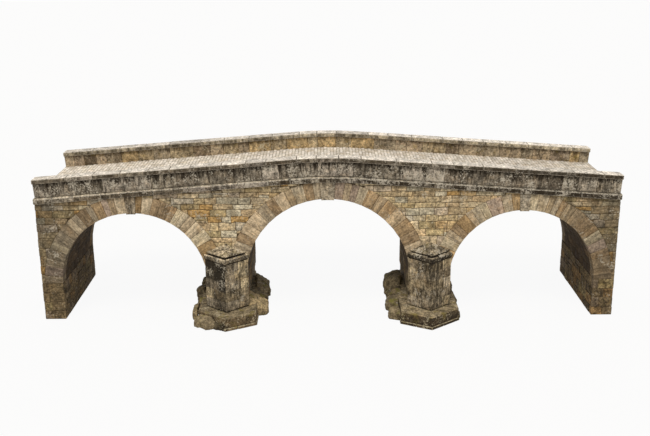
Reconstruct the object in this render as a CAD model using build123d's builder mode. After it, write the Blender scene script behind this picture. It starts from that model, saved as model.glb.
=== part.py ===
"""Three-arched stone road bridge with a humped parapet line, modelled in millimetres.

X runs along the bridge, Y across it (the front is -Y) and Z up. The origin is the middle of
the bridge, level with the foot of the piers. Left is -X and right is +X.
"""

import os
from math import asin, cos, degrees, radians, sin, sqrt

from build123d import *

os.makedirs("parts", exist_ok=True)

# ---------------------------------------------------------------- driving dimensions
# Arches, seen from the side
centre_span = 6840
side_span = 6080
springing = 1600  # height of the pier and abutment tops, where the rings start
centre_stilt = 160  # straight legs that lift the centre arch above its springing
ring_depth = 730  # voussoirs, measured from the soffit outwards
ring_stones = 13  # voussoirs on each side of a keystone
key_width_centre = 520  # keystones, across their foot
key_width_side = 370
key_drop = 45  # how far a keystone hangs below the soffit
key_proud = 45  # how far it stands out of the face
key_arris_width = 18

# Walls, across the bridge
bridge_width = 5400  # from face to face of the spandrel walls
facing_thickness = 560  # ring stones and spandrel walls
parapet_thickness = 420

# Supports
pier_width = 1600
abutment_width = 850
cutwater_width = 1780  # where it meets the front face; those behind are as wide as the pier
nose_reach = 800  # pointed cutwater, out from the face
nose_arris_radius = 60
cutwater_top = 2660  # underside of the cap
cap_band = 190
cap_overhang = 50
cap_set_back = 50  # narrow ledge between the band's edge and the pyramid
cap_rise = 450
cap_arris_width = 25
plinth_height = 580
plinth_ledge = 450  # beyond the pier's sides
plinth_shoulder = 500  # beyond the bridge's face, where the nose begins under a side arch
plinth_inner_shoulder = 850  # the same under the centre arch
plinth_reach = 1550  # beyond the bridge's face, at the point
plinth_tail = 1000  # how far past the middle of the bridge its side ledges run
plinth_arris_width = 45

# Road and parapets, on a hump of two straight ramps joined by an easy curve
crest_radius = 20000
crown_bite = 20  # the string courses bed this far into the crowns of the rings
string_height = 225
string_overhang = 110
string_weathering = 40
parapet_height = 620
coping_height = 175
coping_overhang = 100
coping_arris_width = 30
end_overhang = 50  # string courses and copings, beyond the ends of the walls
bedding_thickness = 175
paving_thickness = 160

# Boulders packed against the plinths: each one's length along the plinth, depth out from it
# and height, in order round the plinth, anticlockwise as seen from above
boulder_gap = 35
left_inner_boulders = ((1500, 400, 560), (620, 360, 480), (1500, 400, 690))
left_outer_boulders = ((1100, 220, 560), (900, 240, 600), (800, 160, 460), (1300, 230, 480))
left_nose_boulders = ((1000, 430, 500), (620, 85, 380))
right_outer_boulders = ((1700, 160, 300), (1180, 200, 380), (1250, 210, 430))
right_inner_boulders = ((1500, 480, 790), (700, 420, 620), (1050, 400, 520), (900, 340, 400))

# ---------------------------------------------------------------- sizes that follow
centre_radius = centre_span / 2
side_radius = side_span / 2
centre_level = springing + centre_stilt
pier_x = centre_radius + pier_width / 2
side_x = centre_radius + pier_width + side_radius
abutment_x = side_x + side_radius
wall_end = abutment_x + abutment_width
half_width = bridge_width / 2
core_half_width = half_width - facing_thickness
parapet_inside = half_width - parapet_thickness
plinth_half_width = pier_width / 2 + plinth_ledge

# The string courses bed on the crowns of all three arches, which settles the ramps' gradient.
centre_crown = centre_level + centre_radius + ring_depth
side_crown = springing + side_radius + ring_depth
crown_rise = centre_crown - side_crown
gradient = (side_x - sqrt(side_x**2 - 2 * crest_radius * crown_rise)) / crest_radius
crest_drop = crest_radius * (sqrt(1 + gradient**2) - 1)  # what the curve takes off the peak
bed_peak = centre_crown - crown_bite + crest_drop

# Each arch: its name, the middle of its span, the height of its centre, its radius and key
arches = (
    ("left", -side_x, springing, side_radius, key_width_side),
    ("centre", 0, centre_level, centre_radius, key_width_centre),
    ("right", side_x, springing, side_radius, key_width_side),
)


def save(builder: BuildPart, node: str) -> None:
    """Label a finished piece and write it under its own name."""
    builder.part.label = node
    export_step(builder.part, f"parts/{node}.step")


def turned(builder: BuildPart, *planes: Plane) -> BuildPart:
    """The same piece, mirrored in each of the planes in turn."""
    with BuildPart() as copy:
        add(builder.part)
        for plane in planes:
            mirror(about=plane, mode=Mode.REPLACE)
    return copy


def save_pair(builder: BuildPart, name: str) -> None:
    """Write a right-hand piece and its left-hand twin."""
    save(builder, f"right_{name}")
    save(turned(builder, Plane.YZ), f"left_{name}")


def hump_line(rise: float, reach: float) -> FilletPolyline:
    """The road's ramp, crest and ramp, `rise` above the bed of the string courses."""
    foot = bed_peak + rise - gradient * reach
    return FilletPolyline(
        (-reach, foot), (0, bed_peak + rise), (reach, foot), radius=crest_radius
    )


def hump_course(low: float, high: float, inner: float, outer: float, reach: float) -> BuildPart:
    """A front course that follows the hump, between two heights and two distances from the middle."""
    with BuildPart() as course:
        with BuildSketch(Plane.XZ.offset(inner)):
            with BuildLine():
                under = hump_line(low, reach)
                over = hump_line(high, reach)
                Line(under @ 0, over @ 0)
                Line(under @ 1, over @ 1)
            make_face()
        extrude(amount=outer - inner)
    return course


def long_top_edges(course: BuildPart) -> ShapeList:
    """The edges that run along the bridge on a course's upper surface."""
    tops = course.faces().filter_by(lambda face: face.normal_at().Z > 0.9)
    return tops.edges().filter_by(lambda edge: abs(edge.tangent_at(0.5).X) > 0.9)


def wall_field() -> Sketch:
    """The bridge's side view above the springing and below the string courses."""
    with BuildSketch() as field:
        with BuildLine():
            top = hump_line(0, wall_end)
            Polyline(top @ 0, (-wall_end, springing), (wall_end, springing), top @ 1)
        make_face()
    return field.sketch


def arch_shape(x: float, level: float, radius: float) -> Sketch:
    """A round-headed opening on straight legs that go down to the ground."""
    with BuildSketch() as shape:
        with Locations((x, level)):
            Circle(radius)
            Rectangle(2 * radius, level, align=(Align.CENTER, Align.MAX))
    return shape.sketch


def ring_back(x: float, level: float, radius: float, key_width: float) -> Sketch:
    """The outline behind the ring stones, a straight facet for each, on legs to the ground."""
    back = radius + ring_depth
    turn = (90 - degrees(asin(key_width / 2 / radius))) / ring_stones
    angles = [radians(turn * step) for step in range(ring_stones + 1)]
    right = [(x + back * cos(angle), level + back * sin(angle)) for angle in angles]
    left = [(x - back * cos(angle), level + back * sin(angle)) for angle in reversed(angles)]
    with BuildSketch() as outline:
        with BuildLine():
            Polyline((x + back, 0), *right, *left, (x - back, 0), close=True)
        make_face()
    return outline.sketch


def key_wedge(x: float, level: float, radius: float, width: float) -> Sketch:
    """A wedge with radial sides that is `width` wide at the soffit."""
    top = radius + 2 * ring_depth
    with BuildSketch() as wedge:
        with BuildLine():
            Polyline(
                (x, level),
                (x + width / 2 * top / radius, level + top),
                (x - width / 2 * top / radius, level + top),
                close=True,
            )
        make_face()
    return wedge.sketch


# ---------------------------------------------------------------- piers and abutments
with BuildPart() as abutment:
    with BuildSketch(Plane.XY):
        with Locations((abutment_x + abutment_width / 2, 0)):
            Rectangle(abutment_width, bridge_width)
    extrude(amount=springing)
save_pair(abutment, "abutment")

with BuildPart() as pier:
    with BuildSketch(Plane.XY.offset(plinth_height)):
        with Locations((pier_x, 0)):
            Rectangle(pier_width, bridge_width)
    extrude(amount=springing - plinth_height)
save_pair(pier, "pier")


def nose_outline(half: float, reach: float) -> Polygon:
    """A front nose in plan: a triangle with its base on the bridge's face."""
    return Polygon(
        (pier_x - half, -half_width),
        (pier_x, -half_width - reach),
        (pier_x + half, -half_width),
        align=None,
    )


# The plinth's ledges run from the front nose past the middle. Behind them it is as wide as
# the pier, up to a back nose. A worn arris goes round every ledge.
with BuildPart() as plinth:
    with BuildSketch(Plane.XY):
        with BuildSketch(mode=Mode.PRIVATE) as back_nose:
            nose_outline(pier_width / 2, plinth_reach)
            mirror(about=Plane.XZ, mode=Mode.REPLACE)
        with BuildLine():
            Polyline(
                (pier_x - plinth_half_width, plinth_tail),
                (pier_x - plinth_half_width, -half_width - plinth_inner_shoulder),
                (pier_x, -half_width - plinth_reach),
                (pier_x + plinth_half_width, -half_width - plinth_shoulder),
                (pier_x + plinth_half_width, plinth_tail),
                close=True,
            )
        make_face()
        with Locations((pier_x, 0)):
            Rectangle(pier_width, half_width, align=(Align.CENTER, Align.MIN))
        add(back_nose.sketch)
    extrude(amount=plinth_height)
    rim = plinth.faces().sort_by(Axis.Z)[-1].edges()
    flush = rim.filter_by(
        lambda edge: abs(abs(edge.center().X - pier_x) - pier_width / 2) < 1
        and edge.center().Y > plinth_tail
    )
    chamfer(rim - flush, plinth_arris_width)
save_pair(plinth, "plinth")

# ---------------------------------------------------------------- boulders at the piers' feet
def boulder(side: Plane, start: float, length: float, depth: float, height: float) -> Part:
    """A worn stone with its flat back against a plinth's side, `start` along that side."""
    corner = length / 5
    wear = min(depth, height) / 3
    with BuildPart() as stone:
        with BuildSketch(side):
            with BuildLine():
                Polyline(
                    (0, start),
                    (depth, start + corner),
                    (depth, start + length - corner),
                    (0, start + length),
                    close=True,
                )
            make_face()
        extrude(amount=height)
        rim = stone.edges().group_by(Axis.Z)[-1]
        back = rim.sort_by(lambda edge: side.to_local_coords(edge.center()).X)[0]
        chamfer(rim.filter_by(lambda edge: edge is not back), wear)
    return stone.part


def boulder_row(start: Vector, end: Vector, sizes: tuple) -> list:
    """Boulders that fill one side of a plinth, from corner to corner, with a gap between them."""
    along = (end - start).normalized()
    side = Plane(origin=start, x_dir=along.cross(Vector(0, 0, 1)), z_dir=(0, 0, 1))
    free = (end - start).length - boulder_gap * (len(sizes) - 1)
    stretch = free / sum(length for length, _, _ in sizes)
    row = []
    reached = 0
    for length, depth, height in sizes:
        row.append(boulder(side, reached, length * stretch, depth, height))
        reached += length * stretch + boulder_gap
    return row


shoulder_y = half_width + plinth_shoulder
inner_x = pier_x - plinth_half_width
outer_x = pier_x + plinth_half_width
left_nose_tip = Vector(-pier_x, -half_width - plinth_reach)

left_stones = boulder_row(Vector(-inner_x, -half_width), Vector(-inner_x, plinth_tail), left_inner_boulders)
left_stones += boulder_row(Vector(-outer_x, plinth_tail), Vector(-outer_x, -shoulder_y), left_outer_boulders)
left_stones += boulder_row(Vector(-outer_x, -shoulder_y), left_nose_tip, left_nose_boulders)
with BuildPart() as left_boulders:
    add(left_stones)
save(left_boulders, "left_footing_boulders")

right_stones = boulder_row(Vector(outer_x, -shoulder_y), Vector(outer_x, plinth_tail), right_outer_boulders)
right_stones += boulder_row(Vector(inner_x, plinth_tail), Vector(inner_x, -shoulder_y), right_inner_boulders)
with BuildPart() as right_boulders:
    add(right_stones)
save(right_boulders, "right_footing_boulders")

# ---------------------------------------------------------------- cutwaters and caps
def cutwater_shaft(half: float) -> BuildPart:
    """A front shaft, pointed in plan, from the plinth up to its cap."""
    with BuildPart() as shaft:
        with BuildSketch(Plane.XY.offset(plinth_height)) as plan:
            nose_outline(half, nose_reach)
            fillet(plan.vertices().sort_by(Axis.Y)[0], nose_arris_radius)
        extrude(amount=cutwater_top - plinth_height)
    return shaft


def cutwater_cap(half: float) -> BuildPart:
    """A band with a worn upper arris and a half-pyramid on it that throws off the water."""
    reach = nose_reach + cap_overhang
    with BuildPart() as cap:
        with BuildSketch(Plane.XY.offset(cutwater_top)):
            nose_outline(half, reach)
        extrude(amount=cap_band)
        flanks = cap.faces().filter_by(lambda face: abs(face.normal_at().X) > 0.5)
        chamfer(flanks.edges().group_by(Axis.Z)[-1], cap_arris_width)
        with BuildSketch(Plane.XY.offset(cutwater_top + cap_band)) as pyramid_base:
            nose_outline(half - cap_set_back, reach - cap_set_back)
        apex = Vertex(pier_x, -half_width, cutwater_top + cap_band + cap_rise)
        loft([pyramid_base.sketch.face(), apex])
    return cap


# Those in front stand a little past the pier's sides, and those behind are flush with them.
save_pair(cutwater_shaft(cutwater_width / 2), "front_cutwater")
save_pair(turned(cutwater_shaft(pier_width / 2), Plane.XZ), "back_cutwater")
save_pair(cutwater_cap(cutwater_width / 2 + cap_overhang), "front_cutwater_cap")
save_pair(turned(cutwater_cap(pier_width / 2), Plane.XZ), "back_cutwater_cap")

# ---------------------------------------------------------------- arches
FRONT_FACING = Plane.XZ.offset(core_half_width)
CORE = Plane.XZ.offset(-core_half_width)

for arch, x, level, radius, key_width in arches:
    with BuildPart() as ring:
        with BuildSketch(FRONT_FACING):
            add(wall_field())
            add(ring_back(x, level, radius, key_width), mode=Mode.INTERSECT)
            add(arch_shape(x, level, radius), mode=Mode.SUBTRACT)
            add(key_wedge(x, level, radius, key_width), mode=Mode.SUBTRACT)
        extrude(amount=facing_thickness)
    save(ring, f"{arch}_front_arch_ring")
    save(turned(ring, Plane.XZ), f"{arch}_back_arch_ring")

    # The keystone hangs a little below the soffit and stands a little out of the face.
    with BuildPart() as keystone:
        with BuildSketch(FRONT_FACING):
            add(wall_field())
            add(ring_back(x, level, radius, key_width), mode=Mode.INTERSECT)
            add(arch_shape(x, level, radius - key_drop), mode=Mode.SUBTRACT)
            add(key_wedge(x, level, radius, key_width), mode=Mode.INTERSECT)
        extrude(amount=facing_thickness + key_proud)
        chamfer(keystone.faces().sort_by(Axis.Y)[0].edges(), key_arris_width)
    save(keystone, f"{arch}_front_keystone")
    save(turned(keystone, Plane.XZ), f"{arch}_back_keystone")

    with BuildPart() as barrel:
        with BuildSketch(CORE):
            add(wall_field())
            add(ring_back(x, level, radius, key_width), mode=Mode.INTERSECT)
            add(arch_shape(x, level, radius), mode=Mode.SUBTRACT)
        extrude(amount=2 * core_half_width)
    save(barrel, f"{arch}_arch_barrel")


# ---------------------------------------------------------------- spandrels
def spandrels() -> Sketch:
    """The walls over the piers and abutments, between the backs of the rings."""
    with BuildSketch() as walls:
        add(wall_field())
        for _, x, level, radius, key_width in arches:
            add(ring_back(x, level, radius, key_width), mode=Mode.SUBTRACT)
    return walls.sketch


with BuildPart() as spandrel_wall:
    with BuildSketch(FRONT_FACING):
        add(spandrels())
    extrude(amount=facing_thickness)
save(spandrel_wall, "front_spandrel_wall")
save(turned(spandrel_wall, Plane.XZ), "back_spandrel_wall")

with BuildPart() as rubble_fill:
    with BuildSketch(CORE):
        add(spandrels())
    extrude(amount=2 * core_half_width)
save(rubble_fill, "rubble_fill")

# ---------------------------------------------------------------- courses along the hump
parapet_base = string_height
coping_base = parapet_base + parapet_height
coping_reach = wall_end + end_overhang

string_course = hump_course(
    0, string_height, parapet_inside, half_width + string_overhang, coping_reach
)
with string_course:
    lip = long_top_edges(string_course).group_by(Axis.Y)[0]
    chamfer(lip, string_weathering)
save(string_course, "front_string_course")
save(turned(string_course, Plane.XZ), "back_string_course")

parapet = hump_course(parapet_base, coping_base, parapet_inside, half_width, wall_end)
save(parapet, "front_parapet")
save(turned(parapet, Plane.XZ), "back_parapet")

coping = hump_course(
    coping_base,
    coping_base + coping_height,
    parapet_inside - coping_overhang,
    half_width + coping_overhang,
    coping_reach,
)
with coping:
    chamfer(long_top_edges(coping), coping_arris_width)
save(coping, "front_coping")
save(turned(coping, Plane.XZ), "back_coping")

# ---------------------------------------------------------------- roadway
bedding = hump_course(0, bedding_thickness, -parapet_inside, parapet_inside, wall_end)
save(bedding, "road_bedding")

paving = hump_course(
    bedding_thickness, bedding_thickness + paving_thickness, -parapet_inside, parapet_inside, wall_end
)
save(paving, "road_paving")
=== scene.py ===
"""Three-arched stone road bridge, dressed stone by stone round its CAD frame, in metres."""

import logging
import math
import random
from collections.abc import Callable, Iterable, Sequence
from dataclasses import dataclass, field, replace
from enum import Enum
from functools import cache, partial
from typing import Any

import bmesh
import bpy
import numpy as np
from mathutils import Matrix, Vector
from mathutils.bvhtree import BVHTree
from mathutils.geometry import intersect_point_line


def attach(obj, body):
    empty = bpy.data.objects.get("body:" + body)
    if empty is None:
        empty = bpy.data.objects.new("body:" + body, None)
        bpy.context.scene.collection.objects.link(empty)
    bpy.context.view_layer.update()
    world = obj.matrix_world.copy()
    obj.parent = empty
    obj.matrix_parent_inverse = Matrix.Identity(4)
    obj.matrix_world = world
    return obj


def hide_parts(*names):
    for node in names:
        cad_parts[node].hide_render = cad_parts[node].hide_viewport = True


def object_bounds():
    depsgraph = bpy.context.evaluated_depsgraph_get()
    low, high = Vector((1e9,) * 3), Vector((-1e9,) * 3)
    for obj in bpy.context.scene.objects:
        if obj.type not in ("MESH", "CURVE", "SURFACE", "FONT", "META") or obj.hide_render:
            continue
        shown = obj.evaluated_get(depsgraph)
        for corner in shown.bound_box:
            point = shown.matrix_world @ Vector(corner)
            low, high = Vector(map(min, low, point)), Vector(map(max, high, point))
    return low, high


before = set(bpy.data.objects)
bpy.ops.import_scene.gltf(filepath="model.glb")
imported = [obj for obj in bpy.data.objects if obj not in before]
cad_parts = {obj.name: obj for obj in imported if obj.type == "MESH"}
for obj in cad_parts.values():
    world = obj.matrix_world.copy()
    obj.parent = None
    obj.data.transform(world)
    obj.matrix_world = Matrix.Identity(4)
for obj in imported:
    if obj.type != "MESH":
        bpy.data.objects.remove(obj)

LOG = logging.getLogger("bridge")
CAD_BOX = [list(corner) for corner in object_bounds()]
BODY = "root"
X, Y, Z = range(3)

Pair = tuple[float, float]
Piece = bpy.types.Object
AddNode = Callable[..., Any]
FaceTest = Callable[[bmesh.types.BMFace], bool]
ShadeRule = Callable[[np.ndarray, np.ndarray], np.ndarray]


class Named(Enum):
    """A choice whose name is part of the CAD nodes' names."""

    @property
    def word(self) -> str:
        """The name as the CAD nodes spell it."""
        return self.name.lower()


class Side(Named):
    """The two long faces of the bridge, by the sign of their Y."""

    FRONT = -1
    BACK = 1


class Hand(Named):
    """The two ends of the bridge, by the sign of their X."""

    LEFT = -1
    RIGHT = 1


class Beds(Enum):
    """How a stone's natural beds lie, which weather into fine lines."""

    HIDDEN = 0
    LEVEL = 1
    TURNED = 2


# ------------ the bridge's own sizes
@dataclass(frozen=True)
class Span:
    """One arch: where it stands and how large it is."""

    word: str
    x: float
    level: float
    radius: float
    key_width: float
    ring_stones: int = 13
    ring_depth: float = 0.73

    @property
    def step(self) -> float:
        """The angle that one ring stone takes, in radians."""
        key_half = math.asin(self.key_width / 2 / self.radius)
        return (math.pi / 2 - key_half) / self.ring_stones


@dataclass(frozen=True)
class Sizes:
    """The CAD model's dimensions that the stonework follows."""

    springing: float = 1.60
    half_width: float = 2.70
    core_half_width: float = 2.14
    parapet_inside: float = 2.28
    pier_x: float = 4.22
    pier_half: float = 0.80
    abutment_inside: float = 11.25
    wall_end: float = 11.95
    course_end: float = 11.992
    plinth_height: float = 0.58
    cutwater_top: float = 2.66
    cap_band: float = 0.19
    crest_radius: float = 20.0
    gradient: float = 0.073745
    bed_peak: float = 5.94431
    string_top: float = 0.225
    parapet_top: float = 0.845
    coping_top: float = 1.02
    road_height: float = 0.335
    spans: tuple[Span, ...] = (
        Span("left", -8.06, 1.60, 3.04, 0.37),
        Span("centre", 0.0, 1.76, 3.42, 0.52),
        Span("right", 8.06, 1.60, 3.04, 0.37),
    )

    def bed(self, x: float) -> float:
        """The height of the string courses' bed: two ramps joined by the crest's curve.

        Args:
            x: A place along the bridge.

        Returns:
            The bed's height there.
        """
        slope = math.atan(self.gradient)
        tangent = self.crest_radius * math.sin(slope)
        if abs(x) >= tangent:
            return self.bed_peak - self.gradient * abs(x)
        foot = self.bed_peak - self.gradient * tangent
        centre = foot - math.sqrt(self.crest_radius**2 - tangent**2)
        return centre + math.sqrt(self.crest_radius**2 - x**2)

    def slope(self, x: float) -> float:
        """The angle of the bed at x, positive where it climbs towards +X, in radians."""
        reach = 0.01
        return math.atan((self.bed(x + reach) - self.bed(x - reach)) / (2 * reach))


SIZES = Sizes()


# ------------ small shared tools
def linear(colour: str) -> tuple[float, float, float, float]:
    """Turns an sRGB hex colour to the linear values that a shader takes.

    Args:
        colour: A colour such as #c7b28f.

    Returns:
        Red, green, blue and a full alpha.
    """
    channels = (int(colour[at : at + 2], 16) / 255 for at in (1, 3, 5))
    red, green, blue = (c / 12.92 if c <= 0.04045 else ((c + 0.055) / 1.055) ** 2.4 for c in channels)
    return red, green, blue, 1.0


def add_node(
    tree: bpy.types.NodeTree,
    kind: str,
    links: dict[str | int, Any] | None = None,
    stops: Sequence[tuple[float, str]] = (),
    out: str | int | None = 0,
    **settings: Any,
) -> bpy.types.NodeSocket | None:
    """Adds a node with its settings, links and, on a colour ramp, its stops.

    Args:
        tree: The node tree.
        kind: The node's type name, without the ShaderNode that all of them start with.
        links: For each input by name or number, a socket to link or a value to set.
        stops: Positions and hex colours of a colour ramp.
        out: The output to return, by name or number.
        **settings: Properties of the node.

    Returns:
        The output that was asked for.
    """
    node = tree.nodes.new(f"ShaderNode{kind}")
    for name, value in settings.items():
        setattr(node, name, value)
    for at, (place, colour) in enumerate(stops):
        elements = node.color_ramp.elements
        stop = elements[at] if at < len(elements) else elements.new(place)
        stop.position = place
        stop.color = linear(colour)
    for key, value in (links or {}).items():
        if isinstance(value, bpy.types.NodeSocket):
            tree.links.new(value, node.inputs[key])
        else:
            node.inputs[key].default_value = value
    return None if out is None else node.outputs[out]


def fresh_nodes(owner: bpy.types.Material | bpy.types.World) -> AddNode:
    """Empties a material's or a world's node tree.

    Args:
        owner: The material or world.

    Returns:
        What adds a node to that tree.
    """
    owner.use_nodes = True
    owner.node_tree.nodes.clear()
    return partial(add_node, owner.node_tree)


def values_of(items: Any, name: str, width: int = 1) -> np.ndarray:
    """Reads one property of all the points or faces of a mesh.

    Args:
        items: The mesh's points, its faces, or an attribute's values.
        name: The property.
        width: How many numbers it has.

    Returns:
        A row for each of them.
    """
    values = np.empty(len(items) * width)
    items.foreach_get(name, values)
    return values.reshape(-1, width)


def only(obj: Piece) -> None:
    """Leaves one object selected and active, in object mode.

    Args:
        obj: The object.
    """
    active = bpy.context.view_layer.objects.active
    if active is not None and active.mode != "OBJECT":
        bpy.ops.object.mode_set(mode="OBJECT")
    bpy.ops.object.select_all(action="DESELECT")
    bpy.context.view_layer.objects.active = obj
    obj.select_set(True)


def edit(obj: Piece, mode: str = "FACE", selection: str = "DESELECT") -> None:
    """Opens one object in edit mode.

    Args:
        obj: The object.
        mode: VERT, EDGE or FACE.
        selection: SELECT for the whole mesh, or DESELECT for nothing.
    """
    only(obj)
    bpy.ops.object.mode_set(mode="EDIT")
    bpy.ops.mesh.select_mode(type=mode)
    bpy.ops.mesh.select_all(action=selection)


def close_edit() -> None:
    """Back to object mode."""
    bpy.ops.object.mode_set(mode="OBJECT")


def select(obj: Piece, parts: str, test: Callable[[Any], bool]) -> int:
    """Selects some parts of a mesh that is open in edit mode, and nothing else.

    Args:
        obj: The object.
        parts: The kind of part: verts, edges or faces.
        test: Takes a part and says if it is selected.

    Returns:
        How many were found.
    """
    mesh = bmesh.from_edit_mesh(obj.data)
    bpy.ops.mesh.select_all(action="DESELECT")
    found = [part for part in getattr(mesh, parts) if test(part)]
    for part in found:
        part.select_set(True)
    bmesh.update_edit_mesh(obj.data, loop_triangles=False, destructive=False)
    return len(found)


def apply_modifier(obj: Piece, kind: str, **settings: Any) -> None:
    """Adds a modifier and applies it at once.

    Args:
        obj: The object.
        kind: The modifier's type.
        **settings: Properties of the modifier.
    """
    only(obj)
    modifier = obj.modifiers.new(kind.title(), kind)
    for name, value in settings.items():
        setattr(modifier, name, value)
    bpy.ops.object.modifier_apply(modifier=modifier.name)


def wear_arrises(obj: Piece, width: float) -> None:
    """Rounds a piece's sharp edges, marks the rounding for pale wear and a painted highlight, and shades it
    smooth.

    Args:
        obj: The piece.
        width: How wide the arrises are worn.
    """
    obj.data.materials.clear()
    for word in ("face", "arris"):
        obj.data.materials.append(bpy.data.materials.get(word) or bpy.data.materials.new(word))
    apply_modifier(
        obj, "BEVEL", width=width, segments=2, limit_method="ANGLE", angle_limit=math.radians(32), material=1
    )
    faces = obj.data.polygons
    # the worn rounding is painted pale in the shaders: partly wear, partly a painted highlight
    worn = obj.data.attributes.new("worn", "FLOAT", "FACE")
    worn.data.foreach_set("value", [float(face.material_index == 1) for face in faces])
    faces.foreach_set("material_index", [0] * len(faces))
    only(obj)
    bpy.ops.object.shade_smooth_by_angle(angle=math.radians(35))


def joined(name: str, objects: Sequence[Piece]) -> Piece:
    """Joins objects into one mesh.

    Args:
        name: The name of the joined piece.
        objects: The objects, of which the first takes in the others.

    Returns:
        The joined piece.
    """
    only(objects[0])
    for obj in objects:
        obj.select_set(True)
    bpy.ops.object.join()
    objects[0].name = name
    objects[0].data.name = name
    return objects[0]


def block(name: str, size: Sequence[float] = (1, 1, 1)) -> Piece:
    """A squared block of stone, centred on the origin.

    Args:
        name: Its name.
        size: Its length, width and height.

    Returns:
        The block.
    """
    bpy.ops.mesh.primitive_cube_add(size=1)
    obj = bpy.context.object
    obj.name = name
    edit(obj, selection="SELECT")
    bpy.ops.transform.resize(value=tuple(size))
    close_edit()
    return obj


def chamfered(name: str, size: Sequence[float], width: float, test: Callable[[Any], bool]) -> Piece:
    """A block with some of its edges cut off.

    Args:
        name: Its name.
        size: Its length, width and height.
        width: How wide the cut is.
        test: Takes an edge and says if it is cut off.

    Returns:
        The block.
    """
    stone = block(name, size)
    edit(stone, "EDGE")
    select(stone, "edges", test)
    bpy.ops.mesh.bevel(offset=width, segments=1, affect="EDGES")
    close_edit()
    return stone


@dataclass
class Stone:
    """One copy of a modelled stone: where it lies, and its own colour."""

    place: Matrix
    tone: float
    shade: float


def set_colouring(mesh: bpy.types.Mesh, tone: float, shade: float) -> None:
    """Writes a stone's colour on all of its faces.

    Args:
        mesh: The stone's mesh.
        tone: Which colour of its finish it has, from 0 to 1.
        shade: How much lighter or darker it is.
    """
    for name, value in (("tone", tone), ("shade", shade)):
        layer = mesh.attributes.get(name) or mesh.attributes.new(name, "FLOAT", "FACE")
        layer.data.foreach_set("value", [value] * len(mesh.polygons))


def shift_shades(obj: Piece, rule: ShadeRule) -> None:
    """Darkens or lightens a piece's faces.

    Args:
        obj: The dressed piece.
        rule: Takes the faces' middles and normals, each as rows for X, Y and Z, and returns
            each face's change.
    """
    middles, normals = (values_of(obj.data.polygons, name, 3).T for name in ("center", "normal"))
    shade = obj.data.attributes["shade"].data
    changed = values_of(shade, "value").ravel() + rule(middles, normals)
    shade.foreach_set("value", changed.astype(np.float32))


@dataclass(frozen=True)
class Washes:
    """Where rain has washed masonry pale or stained it: X, Z and the change at each spot's middle."""

    spots: tuple[tuple[float, float, float], ...]
    wide: float = 1.7
    high: float = 0.5

    def __call__(self, middles: np.ndarray, normals: np.ndarray) -> np.ndarray:
        """Each face's change, fading out from the spots.

        Args:
            middles: The faces' middles, as rows for X, Y and Z.
            normals: Their normals, which don't matter here.

        Returns:
            One change of shade per face.
        """
        return sum(
            change * np.exp(-(((middles[X] - x) / self.wide) ** 2) - ((middles[Z] - z) / self.high) ** 2)
            for x, z, change in self.spots
        )


def copied(name: str, model: Piece, stones: Iterable[Stone]) -> Piece:
    """Copies a stone to each of its places, each copy with its own mesh, and joins them.

    Args:
        name: The name of the joined piece.
        model: The stone to copy, which is removed afterwards.
        stones: The places and colours of the copies.

    Returns:
        The joined piece.
    """
    twins = []
    for stone in stones:
        twin = bpy.data.objects.new(name, model.data.copy())
        twin.data.transform(stone.place)
        set_colouring(twin.data, stone.tone, stone.shade)
        bpy.context.scene.collection.objects.link(twin)
        twins.append(twin)
    bpy.data.objects.remove(model)
    return joined(name, twins)


def node_copy(name: str, node: str) -> Piece:
    """Copies a CAD node and merges its loose triangles.

    Args:
        name: The copy's name.
        node: The CAD node.

    Returns:
        The copy, as a new mesh object.
    """
    copy = bpy.data.objects.new(name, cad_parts[node].data.copy())
    copy.data.name = name
    copy.data.materials.clear()
    bpy.context.scene.collection.objects.link(copy)
    edit(copy, selection="SELECT")
    bpy.ops.mesh.remove_doubles(threshold=0.0004)
    close_edit()
    return copy


def hold_inside(obj: Piece) -> None:
    """Keeps every point of a piece inside the CAD model's box.

    Args:
        obj: The piece.
    """
    places = np.clip(values_of(obj.data.vertices, "co", 3), *CAD_BOX)
    obj.data.vertices.foreach_set("co", places.ravel())
    obj.data.update()


def middle_of(face: bmesh.types.BMFace) -> Vector:
    """A face's middle."""
    return face.calc_center_median()


def is_end(face: bmesh.types.BMFace) -> bool:
    """True if a face lies on the bridge's own ends."""
    return abs(middle_of(face).x) > SIZES.wall_end - 0.01


def between(low: float, high: float) -> FaceTest:
    """A test for faces whose middle lies between two heights."""
    return lambda face: low < middle_of(face).z < high


def spans_value(face: bmesh.types.BMFace, axis: int, value: float) -> bool:
    """True if a face reaches over a value on an axis."""
    places = [vert.co[axis] for vert in face.verts]
    return min(places) - 1e-4 <= value <= max(places) + 1e-4


def islands(mesh: bmesh.types.BMesh) -> list[list[bmesh.types.BMFace]]:
    """Sorts a mesh's faces into groups that hang together.

    Args:
        mesh: The mesh.

    Returns:
        The groups.
    """
    groups = []
    seen: set[int] = set()
    mesh.faces.ensure_lookup_table()
    mesh.faces.index_update()
    for first in mesh.faces:
        if first.index in seen:
            continue
        seen.add(first.index)
        group, front = [first], [first]
        while front:
            for edge in front.pop().edges:
                for face in edge.link_faces:
                    if face.index not in seen:
                        seen.add(face.index)
                        group.append(face)
                        front.append(face)
        groups.append(group)
    return groups


def room_across(place: Vector, way: Vector, start: Vector, stop: Vector) -> float:
    """How far an edge lies from a place, if it lies the given way.

    Args:
        place: The place.
        way: The direction of interest.
        start: One end of the edge.
        stop: The other end.

    Returns:
        The distance, or a metre where the edge lies another way.
    """
    share = intersect_point_line(place, start, stop)[1]
    gap = start.lerp(stop, max(0.0, min(1.0, share))) - place
    return gap.length if gap.dot(way) > 0.3 * gap.length * way.length else 1.0


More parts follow.
